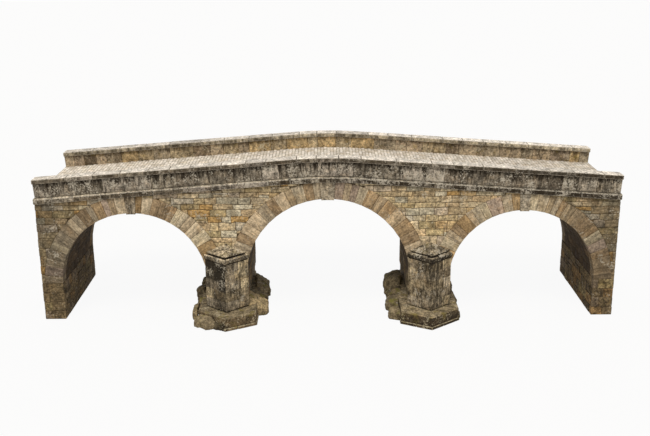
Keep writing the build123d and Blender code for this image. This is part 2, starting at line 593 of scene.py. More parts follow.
# ------------ finishes
@dataclass(frozen=True)
class Weathering:
    """What the weather has left on a stone.

    Black crust runs down in streaks where water drips, lichen grows in pale spots, moss on
    what faces up, and the tops are paler: partly bleached by sun and feet, partly painted light from above.
    """

    crust: str = "#3a3022"
    crust_amount: float = 0.3
    crust_heights: Pair = (4.9, 5.9)
    crust_floor: float = 0.25
    drips: float = 5.2
    follows_hump: bool = True
    lichen: str = "#b5ab98"
    lichen_amount: float = 0.3
    moss: str = "#6a6434"
    moss_amount: float = 0.0
    # the tops' paler colour: partly bleaching, partly painted light from the sky above
    bleached: str | None = None
    road_side: str | None = None
    ends_shade: float = 1.0


@dataclass(frozen=True)
class DressedStone:
    """Quarried sandstone or granite, laid in mortar: matt, grainy, no two blocks alike.

    Rough stone scatters light evenly, so it has no gloss, and its unevenness shows as small
    soft shadows; grain is 2 to 4 mm and tooling about 30 mm.
    """

    name: str
    palette: str
    weathering: Weathering = field(default_factory=Weathering)
    mottle: float = 0.5
    pits: float = 0.45
    beds: Beds = Beds.HIDDEN
    beds_strength: float = 0.35
    rain_streaks: float = 0.0
    relief: float = 0.012
    roughness: float = 0.93
    # the arrises' pale colour: partly wear, partly a painted highlight
    worn_arris: str | None = None

    def brightness(self, add: AddNode, place: Any) -> tuple[Any, Any]:
        """Adds the stone's unevenness, from clouds down to pits.

        Args:
            add: Adds a node to the tree and returns its output.
            place: The Object coordinates.

        Returns:
            The grain and the whole brightness, as sockets.
        """
        mottle, lines = self.mottle, self.beds_strength
        layers = [
            # clouds of lighter and darker stone, a hand's breadth across
            (place, 3.4, 0.7, 0.36, 0.64, 1 - mottle * 0.8, 1 + mottle * 0.6),
            # grain and tooling marks, drawn a little coarser than real so that they show
            (place, 10.0, 0.78, 0.38, 0.62, 1 - mottle, 1 + mottle * 0.8),
            # pits 20 to 60 mm across, dark with the dirt in them
            (place, 17.0, 0.6, 0.36, 0.44, 1 - self.pits, 1.0),
        ]
        if self.beds is Beds.LEVEL:
            level = add("Mapping", {"Vector": place, "Scale": (0.12, 0.12, 1.0)})
            layers.append((level, 16.0, 0.6, 0.4, 0.6, 1 - lines, 1 + lines * 0.7))
        if self.beds is Beds.TURNED:
            # masons turn a ring stone's beds to face the thrust
            tone = add("Attribute", attribute_name="tone", out="Fac")
            beds = add("Attribute", attribute_name="beds", out="Fac")
            beds = add("Math", {0: tone, 1: 20.0, 2: beds}, operation="MULTIPLY_ADD")
            beds = add("CombineXYZ", {0: beds})
            turned = add("VectorMath", {0: place, 1: (0.1, 0.1, 0.1), 2: beds}, operation="MULTIPLY_ADD")
            layers.append((turned, 13.0, 0.6, 0.38, 0.62, 1 - lines, 1 + lines * 0.7))
        if self.rain_streaks:
            # rain washes some lines of a face clean and leaves its dirt in others
            fall = add("Mapping", {"Vector": place, "Scale": (1.0, 1.0, 0.14)})
            layers.append((fall, 9.0, 0.7, 0.4, 0.6, 1 + self.rain_streaks * 0.7, 1 - self.rain_streaks))
        shade = add("Attribute", attribute_name="shade", out="Fac")
        light = add("Math", {0: shade, 1: 1.0}, operation="ADD")
        noises = []
        for source, scale, rough, low, high, dark, pale in layers:
            noise = {"Vector": source, "Scale": scale, "Detail": 6.0, "Roughness": rough}
            noises.append(add("TexNoise", noise))
            factor = add("MapRange", {0: noises[-1], 1: low, 2: high, 3: dark, 4: pale})
            light = add("Math", {0: light, 1: factor}, operation="MULTIPLY")
        return noises[1], light

    def own_colour(self, add: AddNode, place: Any) -> Any:
        """Adds each block's own colour, out of what the quarry gave.

        Args:
            add: Adds a node to the tree and returns its output.
            place: The Object coordinates.

        Returns:
            The colour, as a socket.
        """
        tone = add("Attribute", attribute_name="tone", out="Fac")
        hues = self.palette.split()
        hue = add("ValToRGB", {0: tone}, stops=[(at / len(hues), hue) for at, hue in enumerate(hues)])
        hue.node.color_ramp.interpolation = "CONSTANT"
        # iron-rich patches of warmer stone
        rust = add("TexNoise", {"Vector": place, "Scale": 2.6, "Detail": 5.0, "Distortion": 0.6})
        rust = add("MapRange", {0: rust, 1: 0.5, 2: 0.7, 3: 0.0, 4: 0.3})
        iron = linear("#f0d3a4")
        warm = add("Mix", {0: 1.0, 6: hue, 7: iron}, data_type="RGBA", blend_type="MULTIPLY", out=2)
        return add("Mix", {0: rust, 6: hue, 7: warm}, data_type="RGBA", out=2)

    def crusted(self, add: AddNode, place: Any, height: Any, top: Any) -> Any:
        """Adds black crust, which hangs down from the drip line in streaks of uneven length.

        Args:
            add: Adds a node to the tree and returns its output.
            place: The Object coordinates.
            height: How high a point lies, above level ground or along the hump.
            top: Where the stone faces up, which rain keeps clean.

        Returns:
            The share of crust, as a socket.
        """
        worn = self.weathering
        fall = add("Mapping", {"Vector": place, "Scale": (1.0, 1.0, 0.22)})
        streak = add("TexNoise", {"Vector": fall, "Scale": worn.drips, "Detail": 7.0, "Roughness": 0.7})
        low, high = worn.crust_heights
        wet = add("MapRange", {0: height, 1: low, 2: high})
        shade = add("Attribute", attribute_name="shade", out="Fac")
        longer = add("MapRange", {0: wet, 3: -0.09, 4: 0.09})
        dirtier = add("MapRange", {0: shade, 1: -0.2, 2: -0.7, 3: 0.0, 4: 0.09})
        for factor in (longer, dirtier):
            streak = add("Math", {0: streak, 1: factor}, operation="ADD")
        edge = 0.66 - worn.crust_amount * 0.2
        crusted = add("MapRange", {0: streak, 1: edge - 0.05, 2: edge + 0.09})
        strength = min(1.0, 0.35 + worn.crust_amount)
        held = add("MapRange", {0: wet, 3: strength * worn.crust_floor, 4: strength})
        side_on = add("Math", {0: 1.0, 1: top}, operation="SUBTRACT")
        renewed = add("MapRange", {0: shade, 1: 0.16, 2: 0.3, 3: 1.0, 4: 0.35})
        for factor in (held, side_on, renewed):
            crusted = add("Math", {0: crusted, 1: factor}, operation="MULTIPLY")
        return crusted

    def grown_over(self, add: AddNode, place: Any, up: Any) -> tuple[Any, Any]:
        """Adds lichen in pale spots 10 to 60 mm across, and moss on ledges.

        Args:
            add: Adds a node to the tree and returns its output.
            place: The Object coordinates.
            up: How far the stone faces up.

        Returns:
            The shares of lichen and of moss, as sockets.
        """
        colony = add("TexNoise", {"Vector": place, "Scale": 1.9, "Detail": 3.0})
        spots = add("TexNoise", {"Vector": place, "Scale": 13.0, "Detail": 6.0, "Roughness": 0.7})
        crowd = add("Math", {0: colony, 1: 0.7, 2: spots}, operation="MULTIPLY_ADD")
        edge = 1.04 - self.weathering.lichen_amount * 0.26
        spotted = add("MapRange", {0: crowd, 1: edge, 2: edge + 0.07, 3: 0.0, 4: 0.8})
        patch = add("TexNoise", {"Vector": place, "Scale": 2.6, "Detail": 6.0, "Roughness": 0.7})
        edge = 0.62 - self.weathering.moss_amount * 0.25
        patch = add("MapRange", {0: patch, 1: edge, 2: edge + 0.1})
        damp = add("MapRange", {0: up, 1: -0.2, 2: 0.7, 3: 0.25, 4: 0.9})
        return spotted, add("Math", {0: patch, 1: damp}, operation="MULTIPLY")

    @cache
    def material(self) -> bpy.types.Material:
        """Builds the stone's shader, once.

        Returns:
            The node-based material, on Object coordinates and the stones' own attributes.
        """
        worn = self.weathering
        material = bpy.data.materials.new(self.name)
        add = fresh_nodes(material)
        place = add("TexCoord", out="Object")
        x, y, z = (add("SeparateXYZ", {0: place}, out=axis) for axis in (X, Y, Z))
        normal = add("NewGeometry", out="Normal")
        across, up = (add("SeparateXYZ", {0: normal}, out=axis) for axis in (Y, Z))
        off_middle = add("Math", {0: x}, operation="ABSOLUTE")
        grain, light = self.brightness(add, place)
        if worn.ends_shade != 1.0:
            # the ends stand in damp shade under trees, and are dirtier
            damp = add("MapRange", {0: off_middle, 1: 8.8, 2: 11.4, 3: 1.0, 4: worn.ends_shade})
            light = add("Math", {0: light, 1: damp}, operation="MULTIPLY")

        # faces that look at the road keep more of the stone's own colour, and tops are paler:
        # partly bleached, partly painted light from above
        hue = self.own_colour(add, place)
        top = add("MapRange", {0: up, 1: 0.55, 2: 0.85})
        facing = add("Math", {0: y, 1: across}, operation="MULTIPLY")
        facing = add("MapRange", {0: facing, 1: -0.8, 2: -1.6})
        for share, other in ((facing, worn.road_side), (top, worn.bleached)):
            if other:
                hue = add("Mix", {0: share, 6: hue, 7: linear(other)}, data_type="RGBA", out=2)
        value = add("VectorMath", {0: hue, "Scale": light}, operation="SCALE")

        # arrises are rubbed clean of crust, where the pale stone shows; the pale edges are partly a painted
        # highlight
        rubbed = add("Attribute", attribute_name="worn", out="Fac")
        arris_wear_and_highlight = add("MapRange", {0: grain, 1: 0.4, 2: 0.54, 3: 0.05, 4: 0.9})
        arris_wear_and_highlight = add("Math", {0: arris_wear_and_highlight, 1: rubbed}, operation="MULTIPLY")
        height = z
        if worn.follows_hump:
            height = add("Math", {0: off_middle, 1: SIZES.gradient, 2: z}, operation="MULTIPLY_ADD")
        spotted, mossy = self.grown_over(add, place, up)
        for share, colour, used in (
            (self.crusted(add, place, height, top), worn.crust, worn.crust_amount),
            (arris_wear_and_highlight, self.worn_arris, self.worn_arris),
            (spotted, worn.lichen, worn.lichen_amount),
            (mossy, worn.moss, worn.moss_amount),
        ):
            if used:
                value = add("Mix", {0: share, 6: value, 7: linear(colour)}, data_type="RGBA", out=2)

        # relief: hollows of 100 mm, tooling of 30 mm and grain
        hollows = add("TexNoise", {"Vector": place, "Scale": 8.0, "Detail": 8.0, "Roughness": 0.7})
        relief = add("Math", {0: grain, 1: 0.5, 2: hollows}, operation="MULTIPLY_ADD")
        bump = add("Bump", {"Strength": 1.0, "Distance": self.relief * 3, "Height": relief})
        surface = add(
            "BsdfPrincipled",
            {"Base Color": value, "Roughness": self.roughness, "Specular IOR Level": 0.2, "Normal": bump},
        )
        add("OutputMaterial", {0: surface}, out=None)
        return material


# warm buff sandstone, hammer-dressed and coursed: pale, matt, with faint level beds
WALLING = DressedStone(
    "coursed sandstone rubble",
    "#c7b28f #cdbb98 #bca782 #cab591 #b49e7a #c4aa83 #c0ad92 #c6b89f "
    "#bfa377 #d2c4a6 #c0a984 #baae93 #c9b288 #af9b73 #cdb994 #b9955f",
    Weathering(crust_amount=0.25, crust_floor=0.2, lichen_amount=0.25, ends_shade=0.43),
    mottle=0.55,
    beds=Beds.LEVEL,
    beds_strength=0.16,
)
# the same walling where it never dries, under the arches and on the ends: brown and blotched
END_WALLING = DressedStone(
    "weathered sandstone rubble",
    "#756449 #6a5a41 #80704f #5d4f39 #786853 #866c48",
    Weathering(crust_amount=0.5, crust_floor=0.6, lichen_amount=0.2, moss_amount=0.15),
    mottle=0.7,
)
# finer sandstone, sawn to wedges: smoother than the walling, its beds turned to the thrust
RING = DressedStone(
    "sandstone voussoirs",
    "#bba687 #c1ae90 #b29c7b #baa280 #af9e83 #ba9d76 #b7a18b #c4b393 #ac9068 #a88f6e #bdac8f #a2865f",
    Weathering(crust_amount=0.2, lichen_amount=0.2, ends_shade=0.47),
    mottle=0.4,
    pits=0.4,
    beds=Beds.TURNED,
    beds_strength=0.3,
)
# grey granite, picked flat: speckled, with lichen
KEY = DressedStone(
    "granite keystone", "#a99b84", Weathering(crust_amount=0.25, lichen_amount=0.4), mottle=0.65
)
# the same granite below a leak: black streaks over its speckle
DARK_KEY = DressedStone(
    "granite keystone, stained", "#a0917a", Weathering(crust_amount=0.6, crust_floor=0.8), mottle=0.7
)
# sandstone out of the sun and rain: nearly black, partly with soot and damp, partly painted
# shade under the arches; no lichen
SOFFIT_SOOT_AND_SHADE = DressedStone(
    "sooty sandstone vault",
    "#4f402c #59472f #453727 #625039 #524330",
    Weathering(crust="#1c160c", crust_amount=0.5, crust_floor=0.9, lichen_amount=0.05),
)
# lime and river sand, struck by trowel: brown-grey and nearly flat
MORTAR = DressedStone(
    "old lime mortar", "#5b4c36", Weathering(crust_amount=0.4, lichen_amount=0.1), relief=0.006
)
# mortar that has washed out of a joint: a black line, which also paints the shadow in
# recesses under mouldings and courses
BLACK_JOINT_AND_SHADOW = DressedStone(
    "damp joint, black with soot", "#2b2318", Weathering(crust_amount=0.4, lichen_amount=0.0), relief=0.006
)
# punched granite over the water line: grey-brown, with long runs of black and clean stone
SHAFT = DressedStone(
    "granite ashlar, water-stained",
    "#93856e #857760 #9e9079 #8c7d63 #a59577",
    Weathering(
        crust="#2b2419", crust_amount=0.6, crust_heights=(0.9, 2.6), crust_floor=0.6, drips=8.5,
        follows_hump=False, lichen_amount=0.35,
    ),
    mottle=0.7,
    rain_streaks=0.5,
)
# moulded granite, open to the rain: coarse and blotched, tops and arrises paler, partly worn, partly painted
# light
CAP = DressedStone(
    "granite capping",
    "#7d705b #756853 #867964",
    Weathering(
        crust="#40372a", crust_amount=0.6, crust_floor=1.0, lichen="#c2b7a2", lichen_amount=0.47,
        moss="#6f6440", moss_amount=0.3, bleached="#857862",
    ),
    worn_arris="#d3cab6",
    mottle=0.95,
)
# rough granite that floods reach: silty brown, black at the foot, mossy on its ledges;
# its tops and arrises are paler, partly worn, partly painted light
PLINTH = DressedStone(
    "granite footing ashlar",
    "#71614a #695942 #7a6b52 #61523c",
    Weathering(
        crust="#2a2010", crust_amount=0.5, crust_heights=(0.6, -0.1), crust_floor=0.7, follows_hump=False,
        lichen="#b8ab8e", lichen_amount=0.42, moss="#77693a", moss_amount=0.3, bleached="#7d6f56",
    ),
    worn_arris="#a99c80",
    mottle=0.75,
)
# water-rolled stones of many kinds: rounded, silty, greener than the masonry;
# their black crust low down is partly silt, partly painted shade in the crevices between them
ROCK = DressedStone(
    "river boulders",
    "#7b6c53 #85765b #6b5d45 #75684f #7f764b #a8936e",
    Weathering(
        crust="#261d10", crust_amount=0.5, crust_heights=(0.55, 0.0), crust_floor=0.4, follows_hump=False,
        lichen_amount=0.25, moss="#726c34", moss_amount=0.35,
    ),
    mottle=0.6,
    relief=0.02,
)
# sawn granite slabs: pale above, partly bleached and partly painted light from the sky,
# black where water drips off them; their pale arrises are partly a painted highlight
COPING = DressedStone(
    "granite coping",
    "#7a6f5f #706555 #857a69 #93887a",
    Weathering(
        crust="#33291b", crust_amount=0.42, crust_floor=1.0, lichen="#b3a998", lichen_amount=0.4,
        bleached="#dbd0c0", road_side="#bdae92",
    ),
    worn_arris="#b9ae9c",
    mottle=0.6,
)
# granite that catches the parapet's drips: the blackest course; its pale arrises and tops are
# partly worn, partly painted light
STRING = DressedStone(
    "granite string course",
    "#7a6f5f #6c6151 #857a69 #93887a",
    Weathering(
        crust="#2c2317", crust_amount=0.55, crust_floor=1.0, drips=7.0, lichen="#b9af9d",
        lichen_amount=0.45, bleached="#978b77",
    ),
    worn_arris="#cfc5b2",
    mottle=0.8,
)
# big squared granite blocks: grey, hung with black streaks and spotted with lichen
PARAPET_OUTER = DressedStone(
    "granite parapet, black-crusted",
    "#8f8472 #807463 #9b8f7d #a79b8a #897e6d",
    Weathering(
        crust="#2c2419", crust_amount=0.68, crust_heights=(6.1, 6.8), crust_floor=0.95, drips=7.0,
        lichen="#c3b9a6", lichen_amount=0.5,
    ),
    mottle=0.65,
    rain_streaks=0.25,
)
# sandstone that faces the sun across the road: dry, warm and mottled
PARAPET_INNER = DressedStone(
    "sandstone parapet, road side",
    "#a89579 #b09c80 #9b8972 #b8a486 #a6967c #b39a70 #ad9a79 #8c7a62",
    Weathering(
        crust="#4b3e2c", crust_amount=0.42, crust_heights=(6.1, 6.8), crust_floor=1.0, lichen="#c2b496",
        lichen_amount=0.35, moss="#8c7a3a", moss_amount=0.15,
    ),
    mottle=0.6,
)
# small limestone blocks polished by wheels and feet: the palest and smoothest stone
SETTS = DressedStone(
    "limestone setts, foot-worn",
    "#d8cdbd #e2d7c8 #cdc2b1 #dacfbc #c4b8a6 #e9dfd0",
    Weathering(crust_amount=0.0, crust_floor=0.0, lichen="#a99e8a", lichen_amount=0.15),
    mottle=0.2,
    pits=0.2,
    relief=0.006,
)
# sand swept into the road's joints, with moss in it: a soft grey-brown
GROUT = DressedStone("sand and moss between setts", "#8d806a", Weathering(crust_amount=0.2), relief=0.006)


def dress(obj: Piece, finish: DressedStone, slot: str, *replaced: str) -> None:
    """Gives a finished piece its material, rides it, and logs it.

    Args:
        obj: The piece.
        finish: What it is made of.
        slot: Not used.
        *replaced: The CAD nodes that it stands for.
    """
    obj.data.materials.clear()
    obj.data.materials.append(finish.material())
    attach(obj, BODY)
    if replaced:
        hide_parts(*replaced)
    obj.data.calc_loop_triangles()
    LOG.info("%s: %d triangles", obj.name, len(obj.data.loop_triangles))


def paint_node(node: str, finish: DressedStone) -> None:
    """Gives a CAD node that stays a better material.

    Args:
        node: The node's name.
        finish: What it is dressed in.
    """
    for material_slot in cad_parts[node].material_slots:
        material_slot.link = "OBJECT"
        material_slot.material = finish.material()


def hearting(node: str, slot: str, cover: float, settled: float = 0.0) -> None:
    """Builds the dark packing inside a CAD node's stones, which stands for the node and paints
    the shadow in their joints and recesses.

    Args:
        node: The CAD node, whose shape it has.
        slot: The record's material slot.
        cover: How deep it lies inside that shape.
        settled: How far it has sunk.
    """
    core = node_copy(f"{node}_hearting", node)
    edit(core, selection="SELECT")
    bpy.ops.transform.shrink_fatten(value=-cover)
    bpy.ops.transform.translate(value=(0, 0, -settled))
    close_edit()
    dress(core, BLACK_JOINT_AND_SHADOW, slot, node)


# ------------ walls cut into stones
FLAT_ANGLE = 0.03  # between two faces, over which their edge is a bend in the wall
SAFE_STRAY = 0.35  # of the shortest edge at a corner, so that no stone turns inside out
SAFE_SLOPE = 0.45  # of the room across a stone, so that its cushion's two slopes don't cross


@dataclass(frozen=True)
class Laying:
    """How a mason lays one kind of wall, in metres."""

    lengths: Pair = (0.42, 0.95)
    joint: float = 0.014
    proud: Pair = (0.006, 0.018)
    wander: float = 0.012
    arris: float = 0.012
    thinned: float = 0.0  # the share of stones that are two thin ones
    thin_splits: Pair = (0.38, 0.62)
    least_thinned: float = 0.2
    depth: float = 0.05
    cushion: float = 0.0
    cushion_rise: float = 0.3  # of its width
    shades: Pair = (-0.16, 0.14)
    first_upright: Pair = (0.3, 1.0)  # from the start of the run, in shortest stones
    last_upright: float = 0.4  # from its end
    stagger: float = 0.08
    least_width: float = 2.2  # in joints, under which a sliver is left as mortar

    def shaded(self, change: float) -> "Laying":
        """The same laying with lighter or darker stones."""
        return replace(self, shades=tuple(change + shade for shade in self.shades))


class StoneSkin:
    """The outer faces of a CAD node, cut into separate stones that stand on their mortar."""

    def __init__(self, name: str, node: str, keep: FaceTest, laying: Laying, seed: int) -> None:
        """Copies the node's faces that the test keeps.

        Args:
            name: The piece's name.
            node: The CAD node to copy.
            keep: Says which of its faces show and are cut into stones.
            laying: The wall's joints and stones.
            seed: Starts this wall's own random draws.
        """
        self.laying = laying
        self.draw = random.Random(seed)
        self.obj = node_copy(name, node)
        edit(self.obj)
        self.drop(lambda face: not keep(face))
        close_edit()

    def pick(self, test: FaceTest) -> int:
        """Selects the faces that a test accepts, in edit mode, and returns how many."""
        return select(self.obj, "faces", test)

    def drop(self, test: FaceTest) -> None:
        """Deletes the faces that a test accepts, in edit mode."""
        self.pick(test)
        bpy.ops.mesh.delete(type="FACE")

    def cut(self, axis: int, value: float, test: FaceTest = lambda face: True) -> None:
        """Cuts faces across an axis, in edit mode, and marks the cut as a joint.

        Args:
            axis: The axis that the joint lies across.
            value: Where it lies.
            test: Says which faces are cut.
        """
        if self.pick(lambda face: test(face) and spans_value(face, axis, value)):
            way = tuple(float(at == axis) for at in (X, Y, Z))
            bpy.ops.mesh.bisect(plane_co=tuple(value * part for part in way), plane_no=way)
            bpy.ops.mesh.mark_sharp()

    def beds(self, heights: Iterable[float]) -> None:
        """Cuts level bed joints.

        Args:
            heights: Where they lie.
        """
        edit(self.obj, "EDGE")
        for height in heights:
            self.cut(Z, height)
        close_edit()

    def uprights(
        self, heights: Sequence[float], axis: int, ends: Pair, test: FaceTest = lambda face: True
    ) -> None:
        """Cuts upright joints in each course, staggered from the course below.

        Args:
            heights: The bed joints, from the bottom up.
            axis: The axis that the wall runs along.
            ends: Where the run of wall starts and stops along that axis.
            test: Says which faces belong to the run.
        """
        edit(self.obj, "EDGE")
        laying, shortest = self.laying, self.laying.lengths[0]
        below: list[float] = []
        for low, high in zip(heights, heights[1:]):
            in_course = between(low, high)
            row: list[float] = []
            at = ends[0] + self.draw.uniform(*laying.first_upright) * shortest
            while at < ends[1] - shortest * laying.last_upright:
                tries = [at + self.draw.uniform(-laying.stagger, laying.stagger) for _ in range(5)]
                at = max(tries, key=lambda place: min((abs(place - other) for other in below), default=1.0))
                row.append(at)
                self.cut(axis, at, lambda face: in_course(face) and test(face))
                at += self.draw.uniform(*laying.lengths)
            for start, stop in zip(row, row[1:]):
                if self.draw.random() < laying.thinned and high - low > laying.least_thinned:
                    level = low + (high - low) * self.draw.uniform(*laying.thin_splits)
                    self.cut(
                        Z,
                        level,
                        lambda face: in_course(face) and test(face) and start < middle_of(face)[axis] < stop,
                    )
            below = row
        close_edit()

    def part(self) -> None:
        """Separates the stones, opens the joints and sets each stone proud of its mortar."""
        cushion = self.laying.cushion
        edit(self.obj, "EDGE", "SELECT")
        bpy.ops.mesh.dissolve_limited(angle_limit=math.radians(0.6), delimit={"SHARP"})
        self.stray()
        select(self.obj, "edges", lambda edge: not edge.smooth)
        bpy.ops.mesh.edge_split(type="EDGE")
        bpy.ops.mesh.select_mode(type="FACE")
        self.drop_slivers()
        self.open_joints()
        if cushion:
            bpy.ops.mesh.select_all(action="SELECT")
            rise = cushion * self.laying.cushion_rise
            bpy.ops.mesh.inset(thickness=cushion, depth=rise, use_even_offset=False)
            self.ease_cushions()
        close_edit()

    def ease_cushions(self) -> None:
        """Narrows a cushion's slope where its stone tapers, so that it never folds over."""
        mesh = bmesh.from_edit_mesh(self.obj.data)
        for island in islands(mesh):
            rim = [edge for face in island for edge in face.edges if edge.is_boundary]
            ends = [(edge.verts[0].co.copy(), edge.verts[1].co.copy()) for edge in rim]
            for corner in {vert for edge in rim for vert in edge.verts}:
                for edge in corner.link_edges:
                    if edge.is_boundary:
                        continue
                    inner = edge.other_vert(corner)
                    way = inner.co - corner.co
                    room = min(room_across(corner.co, way, start, stop) for start, stop in ends)
                    inner.co = corner.co + way * min(1.0, SAFE_SLOPE * room / way.length)
        bmesh.update_edit_mesh(self.obj.data)

    def stray(self) -> None:
        """Moves the stones' corners a little in the wall's plane, as in any hand-cut wall."""
        mesh = bmesh.from_edit_mesh(self.obj.data)
        for vert in mesh.verts:
            bends = any(
                edge.is_boundary or (len(edge.link_faces) == 2 and edge.calc_face_angle(0.0) > FLAT_ANGLE)
                for edge in vert.link_edges
            )
            shift = Vector(self.draw.uniform(-1, 1) for _ in (X, Y, Z)) * self.laying.wander
            if not bends and vert.link_faces:
                normal = vert.link_faces[0].normal
                shift -= normal * shift.dot(normal)
                room = SAFE_STRAY * min(edge.calc_length() for edge in vert.link_edges)
                vert.co += shift if shift.length < room else shift * (room / shift.length)
        bmesh.update_edit_mesh(self.obj.data)

    def drop_slivers(self) -> None:
        """Leaves mortar where a stone would be thinner than a few joints."""
        mesh = bmesh.from_edit_mesh(self.obj.data)
        bpy.ops.mesh.select_all(action="DESELECT")
        for island in islands(mesh):
            area = sum(face.calc_area() for face in island)
            rim = sum(edge.calc_length() for face in island for edge in face.edges if edge.is_boundary)
            if 2 * area < rim * self.laying.joint * self.laying.least_width:
                for face in island:
                    face.select_set(True)
        bmesh.update_edit_mesh(self.obj.data)
        bpy.ops.mesh.delete(type="FACE")

    def open_joints(self) -> None:
        """Shrinks each stone by a joint's width, and gives it its own colour and stand."""
        joint = self.laying.joint
        mesh = bmesh.from_edit_mesh(self.obj.data)
        tone, shade = (mesh.faces.layers.float.new(name) for name in ("tone", "shade"))
        mesh.normal_update()
        for island in islands(mesh):
            own_tone = self.draw.random()
            own_shade = self.draw.uniform(*self.laying.shades)
            stand = self.draw.uniform(*self.laying.proud)
            for face in island:
                face[tone] = own_tone
                face[shade] = own_shade
            verts = {vert for face in island for vert in face.verts}
            low = Vector(min(vert.co[axis] for vert in verts) for axis in (X, Y, Z))
            high = Vector(max(vert.co[axis] for vert in verts) for axis in (X, Y, Z))
            middle, size = (low + high) / 2, high - low
            factors = [1 - joint / length if length > 3 * joint else 1.0 for length in size]
            for vert in verts:
                shrunk = Vector(m + (c - m) * factor for m, c, factor in zip(middle, vert.co, factors))
                vert.co = shrunk + vert.normal * stand
        bmesh.update_edit_mesh(self.obj.data)

    def finished(self, finish: DressedStone, slot: str) -> Piece:
        """Thickens the stones, wears their arrises and dresses the piece.

        Args:
            finish: What the stones are.
            slot: The record's material slot.

        Returns:
            The piece.
        """
        self.part()
        apply_modifier(self.obj, "SOLIDIFY", thickness=self.laying.depth, offset=-1.0, use_even_offset=False)
        wear_arrises(self.obj, self.laying.arris)
        hold_inside(self.obj)
        dress(self.obj, finish, slot)
        return self.obj


# ------------ the bridge's parts
@dataclass
class ArchRings:
    """Wedge-shaped ring stones and the vault behind them, for all three arches."""

    joint: float = 0.012
    arris: float = 0.011
    face_stand: float = 0.012
    face_stands: Pair = (0.3, 1.6)
    soffit_stand: float = 0.004
    soffit_stands: Pair = (0.2, 1.6)
    shades: Pair = (-0.21, 0.15)
    widths: tuple[float, ...] = (0.62, 0.8, 1.0, 1.22)
    wide_below: float = 0.55  # of the haunch's height: the widest stones lie under it
    last_stone: float = 0.8
    vault_lengths: Pair = (0.5, 1.0)
    vault_slab: float = 0.06
    vault_arris: float = 0.01
    vault_shades: Pair = (-0.2, 0.15)
    first_slab: float = 0.6
    shortest_slab: float = 0.3
    draw: random.Random = field(default_factory=lambda: random.Random(31))

    def wedge(self, span: Span, share: float) -> Piece:
        """Models one ring stone, upright at the origin, its soffit down.

        Args:
            span: The arch that it belongs to.
            share: Its width, as a share of the span's usual ring stone.

        Returns:
            The stone, with the place of its natural beds on its points.
        """
        half = span.step * share / 2
        deep = SIZES.half_width - SIZES.core_half_width
        inner = span.radius * math.cos(half) - self.soffit_stand
        outer = (span.radius + span.ring_depth) * math.cos(half)
        foot = 2 * span.radius * math.sin(half) - self.joint
        head = 2 * (span.radius + span.ring_depth) * math.sin(half) - self.joint
        stone = block("voussoir", (foot, deep, outer - inner))
        edit(stone)
        select(stone, "faces", lambda face: face.normal.z > 0.9)
        bpy.ops.transform.resize(value=(head / foot, 1, 1))
        bpy.ops.mesh.select_all(action="SELECT")
        bpy.ops.transform.translate(value=(0, 0, (inner + outer) / 2))
        close_edit()
        beds = stone.data.attributes.new("beds", "FLOAT", "POINT")
        beds.data.foreach_set("value", [vert.co.x for vert in stone.data.vertices])
        return stone

    def shares(self, count: int) -> list[float]:
        """Draws the widths of one haunch's stones, narrower near the key.

        Args:
            count: How many usual stones the haunch would take.

        Returns:
            Each stone's share of a usual one, from the springing up.
        """
        shares: list[float] = []
        while sum(shares) < count - self.last_stone:
            low_down = sum(shares) / count < self.wide_below
            shares.append(self.draw.choice(self.widths[1:] if low_down else self.widths[:-1]))
        return shares

    def ring(self, span: Span, side: Side) -> Piece:
        """Lays all the ring stones of one arch on one face.

        Args:
            span: The arch.
            side: The face.

        Returns:
            The ring.
        """
        stones: dict[float, list[Stone]] = {}
        middle = side.value * (SIZES.half_width + SIZES.core_half_width) / 2
        for hand in Hand:
            shares = self.shares(span.ring_stones)
            fit = span.ring_stones / sum(shares)
            angle = 0.0
            for share in shares:
                turn = hand.value * (math.pi / 2 - angle - share * fit * span.step / 2)
                angle += share * fit * span.step
                out = side.value * self.draw.uniform(*self.face_stands) * self.face_stand
                place = (
                    Matrix.Translation((span.x, middle + out, span.level))
                    @ Matrix.Rotation(turn, 4, "Y")
                    @ Matrix.Diagonal((fit, 1, 1, 1))
                )
                stone = Stone(place, self.draw.random(), self.draw.uniform(*self.shades))
                stones.setdefault(share, []).append(stone)
        name = f"{span.word}_{side.word}_voussoirs"
        widths = [copied(name, self.wedge(span, share), copies) for share, copies in stones.items()]
        ring = joined(name, widths)
        wear_arrises(ring, self.arris)
        return ring

    def vault(self, span: Span) -> Piece:
        """Lays the vault's long stones, seen from below, between the two rings.

        Args:
            span: The arch.

        Returns:
            The vault.
        """
        stones: list[Stone] = []
        reach = SIZES.core_half_width
        usual = 2 * span.radius * math.sin(span.step / 2)
        rows = [
            (hand.value * (math.pi / 2 - (at + 0.5) * span.step), usual)
            for hand in Hand
            for at in range(span.ring_stones)
        ]
        for turn, width in (*rows, (0.0, span.key_width)):
            at, share = -reach, self.first_slab
            while at < reach - 0.01:
                length = self.draw.uniform(*self.vault_lengths) * share
                share = 1.0
                stop = reach if reach - at - length < self.shortest_slab else at + length
                stand = self.soffit_stand * self.draw.uniform(*self.soffit_stands)
                radius = span.radius * math.cos(span.step / 2) - stand
                place = (
                    Matrix.Translation((span.x, (at + stop) / 2, span.level))
                    @ Matrix.Rotation(turn, 4, "Y")
                    @ Matrix.Translation((0, 0, radius + self.vault_slab / 2))
                    @ Matrix.Diagonal((width - self.joint, stop - at - self.joint, self.vault_slab, 1))
                )
                stones.append(Stone(place, self.draw.random(), self.draw.uniform(*self.vault_shades)))
                at = stop
        vault = copied(f"{span.word}_vault_stones", block("vault stone"), stones)
        wear_arrises(vault, self.vault_arris)
        return vault

    def build(self) -> None:
        """Builds and dresses the rings, vaults and keystones."""
        for span in SIZES.spans:
            for side in Side:
                dress(self.ring(span, side), RING, "ring_stone")
                paint_node(f"{span.word}_{side.word}_arch_ring", MORTAR)
                paint_node(f"{span.word}_{side.word}_keystone", DARK_KEY if span.word == "left" else KEY)
            dress(self.vault(span), SOFFIT_SOOT_AND_SHADE, "soffit_stone")
            paint_node(f"{span.word}_arch_barrel", SOFFIT_SOOT_AND_SHADE)


